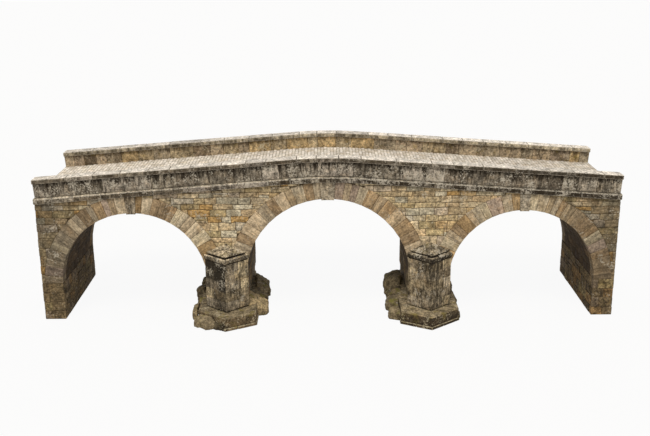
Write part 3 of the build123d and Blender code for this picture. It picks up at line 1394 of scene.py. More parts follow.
@dataclass
class Walls:
    """Spandrels, abutments and end walls in coursed rubble."""

    foot_courses: tuple[float, ...] = (0.36, 0.42, 0.40, 0.42)
    courses: tuple[float, ...] = (
        0.40, 0.38, 0.42, 0.36, 0.40, 0.30, 0.34, 0.25, 0.32, 0.22, 0.27, 0.21, 0.25, 0.24,
    )
    rubble: Laying = Laying(
        lengths=(0.36, 0.95), joint=0.022, proud=(0.008, 0.028), wander=0.03, arris=0.008, thinned=0.16,
        cushion=0.03,
    )
    washes: Washes = Washes(((-4.3, 3.75, 0.19), (4.3, 3.75, 0.26), (-4.5, 5.2, -0.3)))
    across: Pair = (-SIZES.half_width, SIZES.half_width)

    def heights(self) -> list[float]:
        """The bed joints from the ground to above the string courses.

        Returns:
            Their heights, from the lowest up.
        """
        levels = [0.0]
        for course in self.foot_courses + self.courses:
            levels.append(levels[-1] + course)
        return levels

    def face(self, side: Side) -> None:
        """Builds a long face: the spandrels, and round the corners their ends.

        Args:
            side: Which face.
        """
        skin = StoneSkin(
            f"{side.word}_spandrel_stones",
            f"{side.word}_spandrel_wall",
            lambda face: face.normal.y * side.value > 0.9 or abs(face.normal.x) > 0.99 and is_end(face),
            self.rubble,
            seed=11 + side.value,
        )
        levels = self.heights()
        skin.beds(levels[5:])
        run = (-SIZES.wall_end, SIZES.wall_end)
        skin.uprights(levels[4:], X, run, lambda face: abs(face.normal.y) > 0.9)
        shift_shades(skin.finished(WALLING, "wall_stone"), self.washes)

    def end(self, hand: Hand) -> None:
        """Builds one end of the bridge, across the road, above the abutment.

        Args:
            hand: Which end.
        """
        keep: FaceTest = lambda face: face.normal.x * hand.value > 0.99 and is_end(face)
        skin = StoneSkin(f"{hand.word}_end_stones", "rubble_fill", keep, self.rubble, seed=21 + hand.value)
        levels = self.heights()
        skin.beds(levels[5:])
        skin.uprights(levels[4:], Y, self.across)
        skin.finished(END_WALLING, "wall_stone")

    def abutment(self, hand: Hand) -> None:
        """Builds an abutment's four sides.

        Args:
            hand: The abutment's end of the bridge.
        """
        name = f"{hand.word}_abutment"
        keep: FaceTest = lambda face: abs(face.normal.z) < 0.5
        skin = StoneSkin(f"{name}_stones", name, keep, self.rubble, seed=26 + hand.value)
        levels = self.heights()[:5]
        skin.beds(levels[1:4])
        start, stop = sorted((hand.value * SIZES.abutment_inside, hand.value * SIZES.wall_end))
        skin.uprights(levels, X, (start, stop), lambda face: abs(face.normal.y) > 0.9)
        skin.uprights(levels, Y, self.across, lambda face: abs(face.normal.x) > 0.9)
        skin.finished(END_WALLING, "wall_stone")

    def build(self) -> None:
        """Builds and dresses the walls."""
        for side in Side:
            self.face(side)
            paint_node(f"{side.word}_spandrel_wall", MORTAR)
        for hand in Hand:
            self.end(hand)
            self.abutment(hand)
            paint_node(f"{hand.word}_abutment", MORTAR)
        paint_node("rubble_fill", MORTAR)


@dataclass(frozen=True)
class Rock:
    """How one boulder of a footing has weathered: X and Y pick it out of the row."""

    x: float
    y: float
    tone: float
    shade: float
    fall: float  # how much lower its outer side is, as a share of its height
    lean: float  # how far it has tipped towards the pier
    swell: float = 1.5  # how much wider it is than its part that shows
    rise: float = 1.06


@dataclass(frozen=True)
class PierLook:
    """How much lighter or darker each place of one pier is, painted light on its cap band included."""

    flanks: Pair
    cap: float
    # painted highlight on the cap band's upper arris, and painted shade on the band's face
    arris: float
    band: float
    foot: float
    foot_tops: float


@dataclass
class Piers:
    """Pier sides, pointed cutwaters, their caps, plinths and the boulders round them."""

    side_courses: tuple[float, ...] = (SIZES.plinth_height, 0.98, 1.35, SIZES.springing)
    courses: tuple[float, ...] = (0.58, 0.98, 1.42, 1.82, 2.25, 2.66)
    shaft_joints: tuple[float, ...] = (0.35, 0.55, 0.28, 0.5, 0.36)  # each course's first, from the middle
    shaft_stone: float = 0.85
    shaft_proud: Pair = (0.01, 0.018)
    ashlar: Laying = Laying(lengths=(0.45, 0.9), joint=0.009, proud=(0.003, 0.012), wander=0.004, arris=0.01)
    # the shaft stops this far under the cap band, where the black packing paints the band's shadow
    recess: float = 0.05
    looks: dict[Hand, PierLook] = field(
        default_factory=lambda: {
            Hand.LEFT: PierLook((-0.8, 0.42), cap=0.62, arris=0.42, band=-0.74, foot=0.36, foot_tops=0.1),
            Hand.RIGHT: PierLook((0.34, 0.24), cap=-0.06, arris=0.2, band=-0.6, foot=-0.6, foot_tops=0.25),
        }
    )
    back_flanks: Pair = (-0.1, 0.15)
    stain_heights: Pair = (0.4, 2.0)  # where a flank's stain starts and is whole
    least_stain: float = 0.45
    edge_wash: float = 0.8
    unwashed: float = 0.4  # the square of how far from the nose the wash starts

    capping: Laying = Laying(
        joint=0.012, proud=(0.004, 0.01), wander=0.0, arris=0.016, depth=0.045, shades=(-0.1, 0.1)
    )
    # the bare strip under the pyramid's foot, where the black packing paints the drip's shadow
    cap_recess: float = 0.08
    cap_course: float = 0.24
    cap_cover: float = 0.055
    band_joints: tuple[float, ...] = (-0.42, 0.38)
    cap_joints: tuple[float, ...] = (-0.16, 0.3)
    overhang: float = 1.15
    drip_edge: Pair = (-0.035, -0.01)  # where the band's lower edge lies, from its ledge
    drip_drop: float = 0.02
    arris_band: Pair = (-0.06, 0.012)  # painted highlight on the band's upper arris, from the ledge
    # painted shadow under the pyramid's drip: steep faces this far over the ledge, and how dark
    under_drip: float = 0.01
    drip_dirt: float = -0.2
    steep: float = 0.3

    footing: Laying = Laying(
        lengths=(0.6, 1.1), joint=0.014, proud=(0.0, 0.02), wander=0.012, arris=0.022, depth=0.09
    )
    ledge_height: float = 0.14
    ledge_depth: float = 0.045
    nose_joints: tuple[float, ...] = (-0.62, 0.5)
    side_joints: tuple[float, ...] = (-2.5, -1.7, -0.8, 0.1, 0.85, 1.9, 2.6)
    side_stagger: float = 0.3
    footing_cover: float = 0.08
    footing_settled: float = 0.001

    rock_tones: Pair = (0.0, 0.66)
    rock_shades: Pair = (-0.2, 0.15)
    rock_fall: float = 0.35
    rock_lean: float = 0.12
    rock_swell: Pair = (1.5, 1.1)  # beside the pier and round its noses
    rock_depth: float = 1.1
    rock_turn: float = 0.1
    rock_grain: float = 0.05
    rock_noises: tuple[Pair, ...] = ((0.5, 0.2), (0.13, 0.055))  # each one's size and height
    marked_rocks: tuple[Rock, ...] = (
        Rock(-2.77, -1.95, tone=0.99, shade=0.16, fall=0.7, lean=0.26, swell=2.1, rise=1.3),
        Rock(-2.77, 0.25, tone=0.2, shade=0.2, fall=0.5, lean=0.18),
        Rock(-5.21, -2.97, tone=0.2, shade=0.32, fall=0.2, lean=0.0, swell=1.1),
        Rock(-4.45, -4.05, tone=0.5, shade=-0.38, fall=0.1, lean=0.0, swell=1.1),
        Rock(-5.58, 0.45, tone=0.3, shade=-0.1, fall=0.1, lean=0.0),
        Rock(-5.59, -0.58, tone=0.5, shade=-0.15, fall=0.1, lean=0.0),
        Rock(-5.55, -1.47, tone=0.1, shade=-0.1, fall=0.1, lean=0.06, swell=2.2),
        Rock(2.73, 0.26, tone=0.3, shade=0.1, fall=0.1, lean=0.18),
        Rock(2.77, -1.76, tone=0.3, shade=-0.05, fall=0.1, lean=0.0),
        Rock(2.8, -2.76, tone=0.2, shade=0.12, fall=0.0, lean=-0.02),
    )

    def side_faces(self, hand: Hand) -> None:
        """Builds the two long sides of a pier, under the arches.

        Args:
            hand: Which pier.
        """
        name = f"{hand.word}_pier"
        keep: FaceTest = lambda face: abs(face.normal.x) > 0.9
        skin = StoneSkin(f"{name}_stones", name, keep, self.ashlar, seed=41 + hand.value)
        skin.beds(self.side_courses[1:-1])
        skin.uprights(self.side_courses, Y, (-SIZES.half_width, SIZES.half_width))
        skin.finished(END_WALLING, "pier_stone")

    def cutwater(self, hand: Hand, side: Side) -> None:
        """Builds the pointed shaft of one cutwater.

        Args:
            hand: Its pier.
            side: Its face of the bridge.
        """
        name = f"{hand.word}_{side.word}_cutwater"
        keep: FaceTest = lambda face: abs(face.normal.z) < 0.5 and face.normal.y * side.value > -0.5
        laying, seed = replace(self.ashlar, proud=self.shaft_proud), 51 + 2 * hand.value + side.value
        skin = StoneSkin(f"{name}_stones", name, keep, laying, seed)
        skin.beds(self.courses[1:-1])
        middle = hand.value * SIZES.pier_x
        edit(skin.obj, "EDGE")
        for low, high, reach in zip(self.courses, self.courses[1:], self.shaft_joints):
            for x in (middle - reach, middle + self.shaft_stone - reach):
                skin.cut(X, x, between(low, high))
        close_edit()
        self.bare(skin, SIZES.cutwater_top - self.recess, SIZES.cutwater_top + 0.01)
        self.stain_flanks(skin.finished(SHAFT, "pier_stone"), hand, side)

    def bare(self, skin: StoneSkin, low: float, high: float) -> None:
        """Leaves the mortar bare between two heights, where the black packing paints a moulding's
        shadow as a dark line.

        Args:
            skin: The stones.
            low: Where the bare line starts.
            high: Where it stops.
        """
        edit(skin.obj, "EDGE")
        for height in (low, high):
            skin.cut(Z, height)
        bare = between(low, high)
        skin.drop(lambda face: bare(face) and max(vert.co.z for vert in face.verts) < high + 1e-4)
        close_edit()

    def stain_flanks(self, shaft: Piece, hand: Hand, side: Side) -> None:
        """Darkens or lightens the two flanks of a shaft, and washes their outer edges clean.

        Args:
            shaft: The dressed shaft.
            hand: Its pier.
            side: Its face of the bridge.
        """
        left, right = self.looks[hand].flanks if side is Side.FRONT else self.back_flanks
        low, high = self.stain_heights

        def stain(middles: np.ndarray, normals: np.ndarray) -> np.ndarray:
            """Each face's change, by its flank and how far it is from the nose.

            Args:
                middles: The faces' middles, as rows for X, Y and Z.
                normals: Their normals, likewise.

            Returns:
                The changes.
            """
            reach = np.abs(middles[X] - hand.value * SIZES.pier_x) / SIZES.pier_half
            under_cap = np.clip((middles[Z] - low) / (high - low), self.least_stain, 1.0)
            washed = self.edge_wash * (reach**2 - self.unwashed)
            return np.where(normals[X] < 0, left, right) * under_cap + washed

        shift_shades(shaft, stain)

    def cap(self, hand: Hand, side: Side) -> None:
        """Builds the moulded, half-pyramid cap of one cutwater.

        Args:
            hand: Its pier.
            side: Its face of the bridge.
        """
        name = f"{hand.word}_{side.word}_cutwater_cap"
        look = self.looks[hand]
        keep: FaceTest = lambda face: face.normal.y * side.value > -0.9
        laying, seed = self.capping.shaded(look.cap), 61 + 2 * hand.value + side.value
        skin = StoneSkin(f"{name}_stones", name, keep, laying, seed)
        middle = hand.value * SIZES.pier_x
        ledge = SIZES.cutwater_top + SIZES.cap_band
        foot, joint = ledge + self.cap_recess, ledge + self.cap_course
        self.bare(skin, ledge + 0.002, foot)
        skin.beds((joint,))
        # the pyramid hangs over the recess, and its band has a drip along the lower edge
        edit(skin.obj)
        skin.pick(lambda face: middle_of(face).z > foot)
        root = (middle, side.value * SIZES.half_width, 0)
        bpy.ops.transform.resize(value=(self.overhang, self.overhang, 1), center_override=root)
        bpy.ops.mesh.select_mode(type="VERT")
        low, high = self.drip_edge
        select(skin.obj, "verts", lambda vert: low < vert.co.z - ledge < high)
        bpy.ops.transform.translate(value=(0, 0, -self.drip_drop))
        bpy.ops.mesh.select_mode(type="EDGE")
        for joints, low, high in ((self.band_joints, 0.0, ledge), (self.cap_joints, ledge, joint)):
            for x in joints:
                skin.cut(X, middle + x, between(low, high))
        close_edit()
        hearting(name, "cap_stone", self.cap_cover)
        cap = skin.finished(CAP, "cap_stone")

        def wash(middles: np.ndarray, normals: np.ndarray) -> np.ndarray:
            """Each face's change: a painted highlight on the band's upper arris, painted shade on the
            band's face, and painted shadow under the drip.

            Args:
                middles: The faces' middles, as rows for X, Y and Z.
                normals: Their normals, likewise.

            Returns:
                The changes.
            """
            height, steep = middles[Z] - ledge, normals[Z] < self.steep
            arris = (height > self.arris_band[0]) & (height < self.arris_band[1]) & ~steep
            band, under_drip = steep & (height < 0), steep & (height > self.under_drip)
            return look.arris * arris + look.band * band + self.drip_dirt * under_drip

        shift_shades(cap, wash)

    def plinth(self, hand: Hand) -> None:
        """Builds a plinth in two courses, a low ledge and the main course set back on it.

        Args:
            hand: Its pier.
        """
        node = f"{hand.word}_plinth"
        middle, look = hand.value * SIZES.pier_x, self.looks[hand]
        for word, low, high, back in (
            ("ledge", 0.0, self.ledge_height, 0.0),
            ("main", self.ledge_height, SIZES.plinth_height + 0.01, self.ledge_depth),
        ):
            keep: FaceTest = lambda face: face.normal.z > -0.5
            laying = self.footing.shaded(look.foot)
            skin = StoneSkin(f"{node}_{word}_stones", node, keep, laying, seed=71 + hand.value)
            edit(skin.obj, "EDGE")
            skin.cut(Z, self.ledge_height)
            in_course = between(low, high)
            skin.drop(lambda face: not in_course(face))
            # the main course's back nose is one stone
            for x in self.nose_joints:
                skin.cut(
                    X,
                    middle + x,
                    lambda face: middle_of(face).y < -SIZES.half_width
                    or not back and middle_of(face).y > SIZES.half_width,
                )
            for number, y in enumerate(self.side_joints):
                stagger = self.side_stagger * back / self.ledge_depth * (-1) ** number
                skin.cut(Y, y + stagger)
            # behind the ledges the plinth is as narrow as the pier, which covers its top
            skin.drop(
                lambda face: face.normal.z > 0.5
                and max(abs(vert.co.x - middle) for vert in face.verts) < SIZES.pier_half + 0.01
                and 0 < middle_of(face).y < SIZES.half_width
            )
            bpy.ops.mesh.select_all(action="SELECT")
            bpy.ops.transform.shrink_fatten(value=-back)
            close_edit()
            course = skin.finished(PLINTH, "plinth_stone")
            tops = look.foot_tops - look.foot
            shift_shades(course, lambda middles, normals: tops * (normals[Z] > 0.4))
        hearting(node, "plinth_stone", self.footing_cover, self.footing_settled)

    def weathered(self, middle: Vector, draw: random.Random) -> Rock:
        """Finds how the boulder at a place has weathered.

        Args:
            middle: The boulder's middle.
            draw: Gives a boulder that isn't marked its looks.

        Returns:
            The marked boulder there, or a usual one.
        """
        beside = abs(middle.y) < SIZES.half_width + 0.2
        usual = Rock(
            *middle.xy,
            tone=draw.uniform(*self.rock_tones),
            shade=draw.uniform(*self.rock_shades),
            fall=self.rock_fall,
            lean=self.rock_lean * beside,
            swell=self.rock_swell[0 if beside else 1],
        )
        here = (rock for rock in self.marked_rocks if math.dist(middle.xy, (rock.x, rock.y)) < 0.4)
        return next(here, usual)

    def boulders(self, hand: Hand) -> None:
        """Builds the worn stones packed against a plinth out of the CAD's plain blocks.

        Args:
            hand: Their pier.
        """
        node = f"{hand.word}_footing_boulders"
        rocks = node_copy(f"{hand.word}_river_stones", node)
        pier = hand.value * SIZES.pier_x
        edit(rocks)
        mesh = bmesh.from_edit_mesh(rocks.data)
        draw = random.Random(81 + hand.value)
        colours: dict[int, Pair] = {}
        for island in islands(mesh):
            verts = list(dict.fromkeys(vert for face in island for vert in face.verts))
            middle = sum((vert.co for vert in verts), Vector()) / len(verts)
            rock = self.weathered(middle, draw)
            colours.update((face.index, (rock.tone, rock.shade)) for face in island)
            inward = math.copysign(rock.lean, rock.lean * (pier - middle.x))
            turned = Matrix.Rotation(draw.uniform(-self.rock_turn, self.rock_turn), 3, "Z")
            turned @= Matrix.Diagonal((rock.swell, self.rock_depth, 1.0))
            for vert in verts:
                vert.co = middle + turned @ (vert.co - middle) + Vector((inward, 0, 0))
            outs = [abs(vert.co.x - pier) for vert in verts]
            for vert, out in zip(verts, outs):
                vert.co.z *= rock.rise - rock.fall * (out - min(outs)) / (max(outs) - min(outs))
        blocks = BVHTree.FromBMesh(mesh)
        bmesh.update_edit_mesh(rocks.data)
        close_edit()
        apply_modifier(rocks, "REMESH", mode="VOXEL", voxel_size=self.rock_grain)
        apply_modifier(rocks, "SMOOTH", factor=0.6, iterations=6)
        for number, (size, strength) in enumerate(self.rock_noises):
            noise = bpy.data.textures.new(f"rock noise {number}", "CLOUDS")
            noise.noise_scale = size
            apply_modifier(rocks, "DISPLACE", texture=noise, strength=strength, texture_coords="LOCAL")
        set_colouring(rocks.data, 0.0, 0.0)
        nearest = [blocks.find_nearest(face.center)[2] for face in rocks.data.polygons]
        for name, values in zip(("tone", "shade"), zip(*(colours[near] for near in nearest))):
            rocks.data.attributes[name].data.foreach_set("value", values)
        hold_inside(rocks)
        only(rocks)
        bpy.ops.object.shade_smooth_by_angle(angle=math.radians(50))
        dress(rocks, ROCK, "boulders", node)

    def build(self) -> None:
        """Builds and dresses both piers."""
        for hand in Hand:
            self.side_faces(hand)
            paint_node(f"{hand.word}_pier", MORTAR)
            for side in Side:
                self.cutwater(hand, side)
                self.cap(hand, side)
                # the black node behind the shaft paints the shadow in its joints and under the cap band
                paint_node(f"{hand.word}_{side.word}_cutwater", BLACK_JOINT_AND_SHADOW)
            self.plinth(hand)
            self.boulders(hand)


@dataclass(frozen=True)
class Notable:
    """A stone of a parapet that stands out: where it is, its colour and its brightness."""

    x: float
    tone: float
    shade: float


@dataclass
class HumpCourses:
    """String courses, parapets and copings, which follow the road's hump."""

    joint: float = 0.014
    shades: Pair = (-0.24, 0.15)
    drifts: dict[str, float] = field(  # how a course's brightness changes along X
        default_factory=lambda: {"string": 0.043, "coping": 0.026, "parapet": 0.0}
    )
    course_cover: float = 0.03
    draw: random.Random = field(default_factory=lambda: random.Random(91))

    string_faces: Pair = (SIZES.parapet_inside, 2.81)
    string_lengths: Pair = (0.75, 1.35)
    string_chamfer: float = 0.16
    string_arris: float = 0.012
    string_setback: float = 0.012
    string_sunk: float = 0.006

    coping_faces: Pair = (2.18, 2.80)
    coping_lengths: Pair = (0.8, 1.45)
    crest_coping: float = 0.9
    coping_arris: float = 0.022
    coping_sunk: float = 0.008
    coping_change: tuple[float, float, float] = (0.02, -0.01, -0.1)  # along tops, along sides, on sides

    parapet_outside: float = SIZES.half_width
    outer_lengths: Pair = (0.55, 1.15)
    inner_lengths: Pair = (0.45, 1.1)
    crest_stone: float = 0.82
    parapet_arris: float = 0.012
    end_stone: float = 0.43
    end_proud: float = 0.006
    end_faces: Pair = (2.27, 2.71)
    end_arris: float = 0.018
    stands: Pair = (0.004, 0.014)
    slab: float = 0.05
    # the parapet stops short of string and coping; the black packing there paints their shadow lines
    recess: float = 0.02
    notable: dict[str, tuple[Notable, ...]] = field(
        default_factory=lambda: {
            "front parapet outer": (
                Notable(0.0, 0.7, 0.24),
                Notable(-2.1, 0.65, 0.34),
                Notable(10.3, 0.5, 0.2),
                Notable(-1.4, 0.9, 0.1),
                Notable(4.4, 0.7, 0.18),
            ),
            "back parapet inner": (
                Notable(-1.0, 0.7, 0.12),
                Notable(1.9, 0.7, 0.14),
                Notable(-2.6, 0.7, 0.05),
                Notable(-10.9, 0.95, -0.35),
            ),
        }
    )
    parapet_washes: dict[str, Washes] = field(
        default_factory=lambda: {
            "front parapet outer": Washes(
                ((-10.5, 5.7, -0.14), (6.2, 6.0, 0.12), (1.5, 6.4, -0.12), (-2.5, 6.3, -0.1)), 2.0, 9.0
            ),
            "back parapet inner": Washes(((0.0, 6.7, 0.14),), 3.0, 9.0),
        }
    )

    def joints(self, start: float, stop: float, lengths: Pair) -> list[float]:
        """Draws the joints between two ends of a course.

        Args:
            start: One end along X.
            stop: The other end.
            lengths: The shortest and longest stone.

        Returns:
            The joints, both ends among them.
        """
        marks = [start]
        while stop - marks[-1] > lengths[1]:
            marks.append(marks[-1] + self.draw.uniform(*lengths))
        reach = marks[-1] - start + lengths[0]
        return [start, *(start + (mark - start) * (stop - start) / reach for mark in marks[1:]), stop]

    def row(self, end: float, lengths: Pair, apex: float = 0.0) -> list[Pair]:
        """Splits a course into stones.

        Args:
            end: How far it reaches both ways from the bridge's middle.
            lengths: The shortest and longest stone.
            apex: The length of a stone centred on the crest, if there is one.

        Returns:
            Each stone's start and stop.
        """
        if apex:
            marks = self.joints(-end, -apex / 2, lengths) + self.joints(apex / 2, end, lengths)
        else:
            marks = self.joints(-end, end, lengths)
        return list(zip(marks, marks[1:]))

    def stone(
        self, ends: Pair, faces: Pair, heights: Pair, drop: float = 0.0
    ) -> Matrix:
        """Works out where a block of unit size goes to become one stone of a course.

        Args:
            ends: The stone's start and stop along X.
            faces: Its two faces along Y.
            heights: Its bed and its top, above the string courses' bed.
            drop: How far it has sunk.

        Returns:
            The block's matrix.
        """
        (start, stop), (low, high) = ends, heights
        x = (start + stop) / 2
        length = (stop - start) / math.cos(SIZES.slope(x)) - self.joint
        sag = max(abs(SIZES.bed(x) - (SIZES.bed(start) + SIZES.bed(stop)) / 2), 0.0)
        return (
            Matrix.Translation((x, sum(faces) / 2, SIZES.bed(x) + (low + high) / 2 - sag - drop))
            @ Matrix.Rotation(-SIZES.slope(x), 4, "Y")
            @ Matrix.Diagonal((length, abs(faces[1] - faces[0]), high - low, 1))
        )

    def colours(self, course: str, ends: Pair) -> Pair:
        """Draws a stone's colour, or gives its own where it is a notable stone.

        Args:
            course: The course's side and name.
            ends: The stone's start and stop along X.

        Returns:
            Its colour choice and its brightness.
        """
        tone, shade = self.draw.random(), self.draw.uniform(*self.shades)
        drift = next(drift for word, drift in self.drifts.items() if word in course)
        shade += (-drift if course.startswith("front") else drift) * sum(ends) / 2
        here = (mark for mark in self.notable.get(course, ()) if ends[0] <= mark.x < ends[1])
        notable = next(here, Notable(0.0, tone, shade))
        return notable.tone, notable.shade

    def laid(self, name: str, model: Piece, stones: list[Stone], arris: float) -> Piece:
        """Copies a model stone along a course and wears the stones.

        Args:
            name: The piece's name.
            model: The stone.
            stones: The places and colours of the copies.
            arris: How wide their arrises are worn.

        Returns:
            The course.
        """
        course = copied(name, model, stones)
        wear_arrises(course, arris)
        hold_inside(course)
        return course

    def string(self, side: Side) -> None:
        """Builds one string course: blocks with a weathered upper arris, on a dark bed.

        Args:
            side: Its face of the bridge.
        """
        name = f"{side.word}_string_course"
        inner, outer = (side.value * face for face in self.string_faces)
        stones = []
        for ends in self.row(SIZES.course_end, self.string_lengths):
            faces = (inner, outer - side.value * self.draw.uniform(0, self.string_setback))
            place = self.stone(ends, faces, (0.0, SIZES.string_top), self.draw.uniform(0, self.string_sunk))
            stones.append(Stone(place, *self.colours(name, ends)))
        model = chamfered(
            "string stone",
            (1, 1, 1),
            self.string_chamfer,
            lambda edge: all(vert.co.z > 0.4 and vert.co.y * side.value > 0.4 for vert in edge.verts),
        )
        course = self.laid(f"{name}_stones", model, stones, self.string_arris)
        dress(course, STRING, "coping_stone", name)
        hearting(name, "coping_stone", self.course_cover)

    def coping(self, side: Side) -> None:
        """Builds one coping: long flat stones over the parapet.

        Args:
            side: Its face of the bridge.
        """
        name = f"{side.word}_coping"
        faces = tuple(side.value * face for face in self.coping_faces)
        heights = (SIZES.parapet_top, SIZES.coping_top)
        stones = []
        for ends in self.row(SIZES.course_end, self.coping_lengths, self.crest_coping):
            place = self.stone(ends, faces, heights, self.draw.uniform(0, self.coping_sunk))
            stones.append(Stone(place, *self.colours(name, ends)))
        course = self.laid(f"{name}_stones", block("coping stone"), stones, self.coping_arris)
        if side is Side.FRONT:
            # the front coping's side faces are darker than its tops, and both change along X
            tops, sides, dirt = self.coping_change
            shift_shades(
                course, lambda at, normals: np.where(normals[Z] > 0.5, tops * at[X], sides * at[X] + dirt)
            )
        dress(course, COPING, "coping_stone", name)
        hearting(name, "coping_stone", self.course_cover)

    def parapet(self, side: Side) -> None:
        """Builds one parapet: blocks outside and inside, and a through stone at each end.

        Args:
            side: Its face of the bridge.
        """
        heights = (SIZES.string_top + self.recess, SIZES.parapet_top - self.recess)
        for word, face, lengths, finish in (
            ("outer", self.parapet_outside, self.outer_lengths, PARAPET_OUTER),
            ("inner", SIZES.parapet_inside, self.inner_lengths, PARAPET_INNER),
        ):
            name = f"{side.word} parapet {word}"
            out = side.value if word == "outer" else -side.value
            stones = []
            for ends in self.row(SIZES.wall_end - self.end_stone, lengths, self.crest_stone):
                stand = self.draw.uniform(*self.stands)
                faces = (side.value * face + out * stand, side.value * face - out * self.slab)
                stones.append(Stone(self.stone(ends, faces, heights), *self.colours(name, ends)))
            piece = f"{name.replace(' ', '_')}_stones"
            course = self.laid(piece, block("parapet stone"), stones, self.parapet_arris)
            if name in self.parapet_washes:
                shift_shades(course, self.parapet_washes[name])
            dress(course, finish, "parapet_stone")
        through = []
        faces = tuple(side.value * face for face in self.end_faces)
        for hand in Hand:
            near, far = SIZES.wall_end - self.end_stone, SIZES.wall_end + self.end_proud
            start, stop = sorted((hand.value * near, hand.value * far))
            through.append(
                Stone(self.stone((start, stop), faces, heights), *self.colours("parapet end", (start, stop)))
            )
        pair = self.laid(f"{side.word}_parapet_end_stones", block("end stone"), through, self.end_arris)
        dress(pair, PARAPET_OUTER if side is Side.FRONT else PARAPET_INNER, "parapet_stone")
        hearting(f"{side.word}_parapet", "parapet_stone", self.course_cover)

    def build(self) -> None:
        """Builds and dresses all the courses."""
        for side in Side:
            self.string(side)
            self.parapet(side)
            self.coping(side)


@dataclass
class Road:
    """Setts laid in rows across the road, on the CAD's paving as their bed."""

    pitch: float = 0.142
    across: int = 21
    half_width: float = SIZES.parapet_inside - 0.02
    stagger: float = 0.225  # of a sett's width
    joint: float = 0.011
    stand: float = 0.012
    deep: float = 0.06
    worn: float = 0.014
    spread: Pair = (-0.04, 0.03)
    tilt: float = 0.03
    past_edge: float = 0.012
    lifts: Pair = (-0.006, 0.003)
    shades: Pair = (-0.12, 0.08)
    dirt: Pair = (-0.09, -0.008)  # in the middle, and along X
    seed: int = 7

    def build(self) -> None:
        """Lays the rows and gives each sett its own height, tilt and colour."""
        width = 2 * self.half_width / self.across
        size = (self.pitch - self.joint, width - self.joint, self.deep)
        sett = chamfered("sett", size, self.worn, lambda edge: all(vert.co.z > 0 for vert in edge.verts))
        apply_modifier(
            sett, "ARRAY", count=self.across, use_relative_offset=False, use_constant_offset=True,
            constant_offset_displace=(0, width, 0),
        )
        total = 2 * (SIZES.wall_end - 0.01)
        rows = int(total / self.pitch)
        stones = []
        for at in range(rows):
            x = -total / 2 + (at + 0.5) * total / rows
            y = -self.half_width + width / 2 + width * (self.stagger if at % 2 else -self.stagger)
            z = SIZES.bed(x) + SIZES.road_height + self.stand - self.deep / 2
            place = Matrix.Translation((x, y, z)) @ Matrix.Rotation(-SIZES.slope(x), 4, "Y")
            stones.append(Stone(place, 0.0, 0.0))
        road = copied("road_setts", sett, stones)
        self.unsettle(road.data, rows * self.across)
        shift_shades(road, lambda middles, normals: self.dirt[0] + self.dirt[1] * middles[X])
        dress(road, SETTS, "paving")
        paint_node("road_paving", GROUT)
        paint_node("road_bedding", GROUT)

    def unsettle(self, mesh: bpy.types.Mesh, count: int) -> None:
        """Moves each sett a few millimetres and gives it its colour.

        Args:
            mesh: All the setts.
            count: How many there are.
        """
        draw = np.random.default_rng(self.seed)
        places = values_of(mesh.vertices, "co", 3).reshape(count, -1, 3)
        middle = places.mean(axis=1, keepdims=True)
        local = places - middle
        local *= 1 + draw.uniform(*self.spread, (count, 1, 3)) * np.array([1, 1, 0])
        lift = draw.uniform(*self.lifts, (count, 1))
        lift = lift + local[:, :, X] * draw.uniform(-self.tilt, self.tilt, (count, 1))
        places = middle + local
        places[:, :, Z] += lift
        reach = self.half_width + self.past_edge
        places[:, :, Y] = np.clip(places[:, :, Y], -reach, reach)
        mesh.vertices.foreach_set("co", places.ravel())
        each = len(mesh.polygons) // count
        for name, low, high in (("tone", 0.0, 1.0), ("shade", *self.shades)):
            values = np.repeat(draw.uniform(low, high, count), each)
            mesh.attributes[name].data.foreach_set("value", values.astype(np.float32))
        mesh.update()


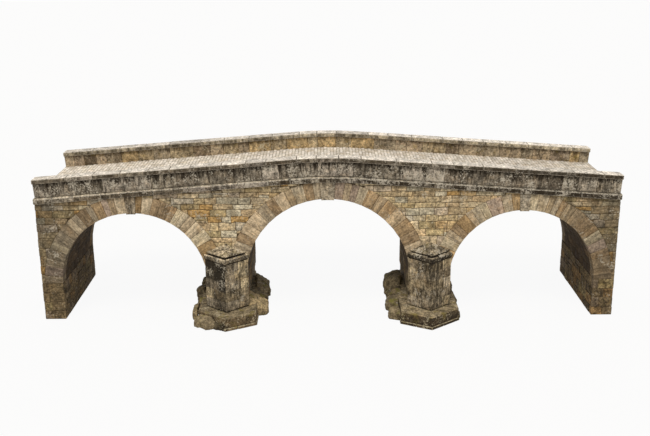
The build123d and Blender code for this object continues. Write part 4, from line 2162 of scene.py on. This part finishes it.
# ------------ stage, light and camera
@dataclass
class Studio:
    """A pale floor, plain soft light and the camera."""

    floor_size: float = 400.0
    floor_depth: float = 0.001
    sky_strength: float = 0.75
    sun_strength: float = 2.1
    sun_lean: Pair = (28, -6)
    sun_width: float = 25
    camera_place: tuple[float, float, float] = (-0.155, -39.704, 15.545)
    pitch: float = 16.81
    yaw: float = 0.06
    roll: float = -0.45
    lens: float = 52.2277
    film: float = 36.0

    def looked_at(self, add: AddNode) -> Any:
        """Finds the rays that come from the camera, straight or by gloss or glass.

        Args:
            add: Adds a node to the tree and returns its output.

        Returns:
            The share, as a socket.
        """
        seen: Any = 0.0
        for ray in ("Is Camera Ray", "Is Glossy Ray", "Is Transmission Ray"):
            seen = add("Math", {0: add("LightPath", out=ray), 1: seen}, operation="MAXIMUM")
        return seen

    def floor(self) -> None:
        """Lays a white floor that keeps a faint shadow for the camera."""
        bpy.ops.mesh.primitive_plane_add(size=self.floor_size, location=(0, 0, -self.floor_depth))
        floor = bpy.context.object
        floor.name = "studio_floor"
        material = bpy.data.materials.new("white studio floor")
        add = fresh_nodes(material)
        share = add("Math", {0: self.looked_at(add), 1: 0.93}, operation="MULTIPLY")
        cloth = add("BsdfDiffuse", {"Color": linear("#b9b4ab")})
        glow = add("Emission", {"Color": (1, 1, 1, 1), "Strength": 1.0})
        add("OutputMaterial", {0: add("MixShader", {0: share, 1: cloth, 2: glow})}, out=None)
        floor.data.materials.append(material)

    def lights(self) -> None:
        """Makes a bright overcast sky with a soft high sun a little in front."""
        world = bpy.data.worlds.new("overcast sky")
        add = fresh_nodes(world)
        sky = add("Background", {"Color": linear("#f4f6fa"), "Strength": self.sky_strength})
        white = add("Background", {"Color": (1, 1, 1, 1), "Strength": 1.0})
        add("OutputWorld", {0: add("MixShader", {0: self.looked_at(add), 1: sky, 2: white})}, out=None)
        bpy.context.scene.world = world
        along, across = (math.radians(angle) for angle in self.sun_lean)
        bpy.ops.object.light_add(type="SUN", rotation=(along, across, 0))
        sun = bpy.context.object
        sun.name = "high_sun"
        sun.data.energy = self.sun_strength
        sun.data.angle = math.radians(self.sun_width)
        sun.data.color = (1.0, 0.97, 0.92)

    def camera(self) -> None:
        """Sets up the camera, level with the treetops in front of the bridge."""
        pitch, yaw, roll = (math.radians(angle) for angle in (self.pitch, self.yaw, self.roll))
        ahead = Vector((math.sin(yaw), math.cos(yaw), 0.0))
        right = Vector((math.cos(yaw), -math.sin(yaw), 0.0))
        up = Vector((0.0, 0.0, 1.0))
        look = ahead * math.cos(pitch) - up * math.sin(pitch)
        top = ahead * math.sin(pitch) + up * math.cos(pitch)
        turned_right = right * math.cos(roll) + top * math.sin(roll)
        turned_top = top * math.cos(roll) - right * math.sin(roll)
        data = bpy.data.cameras.new("camera")
        data.lens = self.lens
        data.sensor_width = self.film
        data.clip_end = 1000
        camera = bpy.data.objects.new("camera", data)
        basis = Matrix((turned_right, turned_top, -look)).transposed().to_4x4()
        camera.matrix_world = Matrix.Translation(self.camera_place) @ basis
        bpy.context.scene.collection.objects.link(camera)
        bpy.context.scene.camera = camera

    def build(self) -> None:
        """Sets the stage."""
        self.floor()
        self.lights()
        self.camera()
        bpy.context.scene.view_settings.view_transform = "Standard"


def main() -> None:
    """Builds the bridge's stonework, then the stage."""
    logging.basicConfig(level=logging.INFO, format="%(message)s")
    for part in (ArchRings(), Walls(), Piers(), HumpCourses(), Road(), Studio()):
        part.build()


if __name__ == "__main__":
    main()
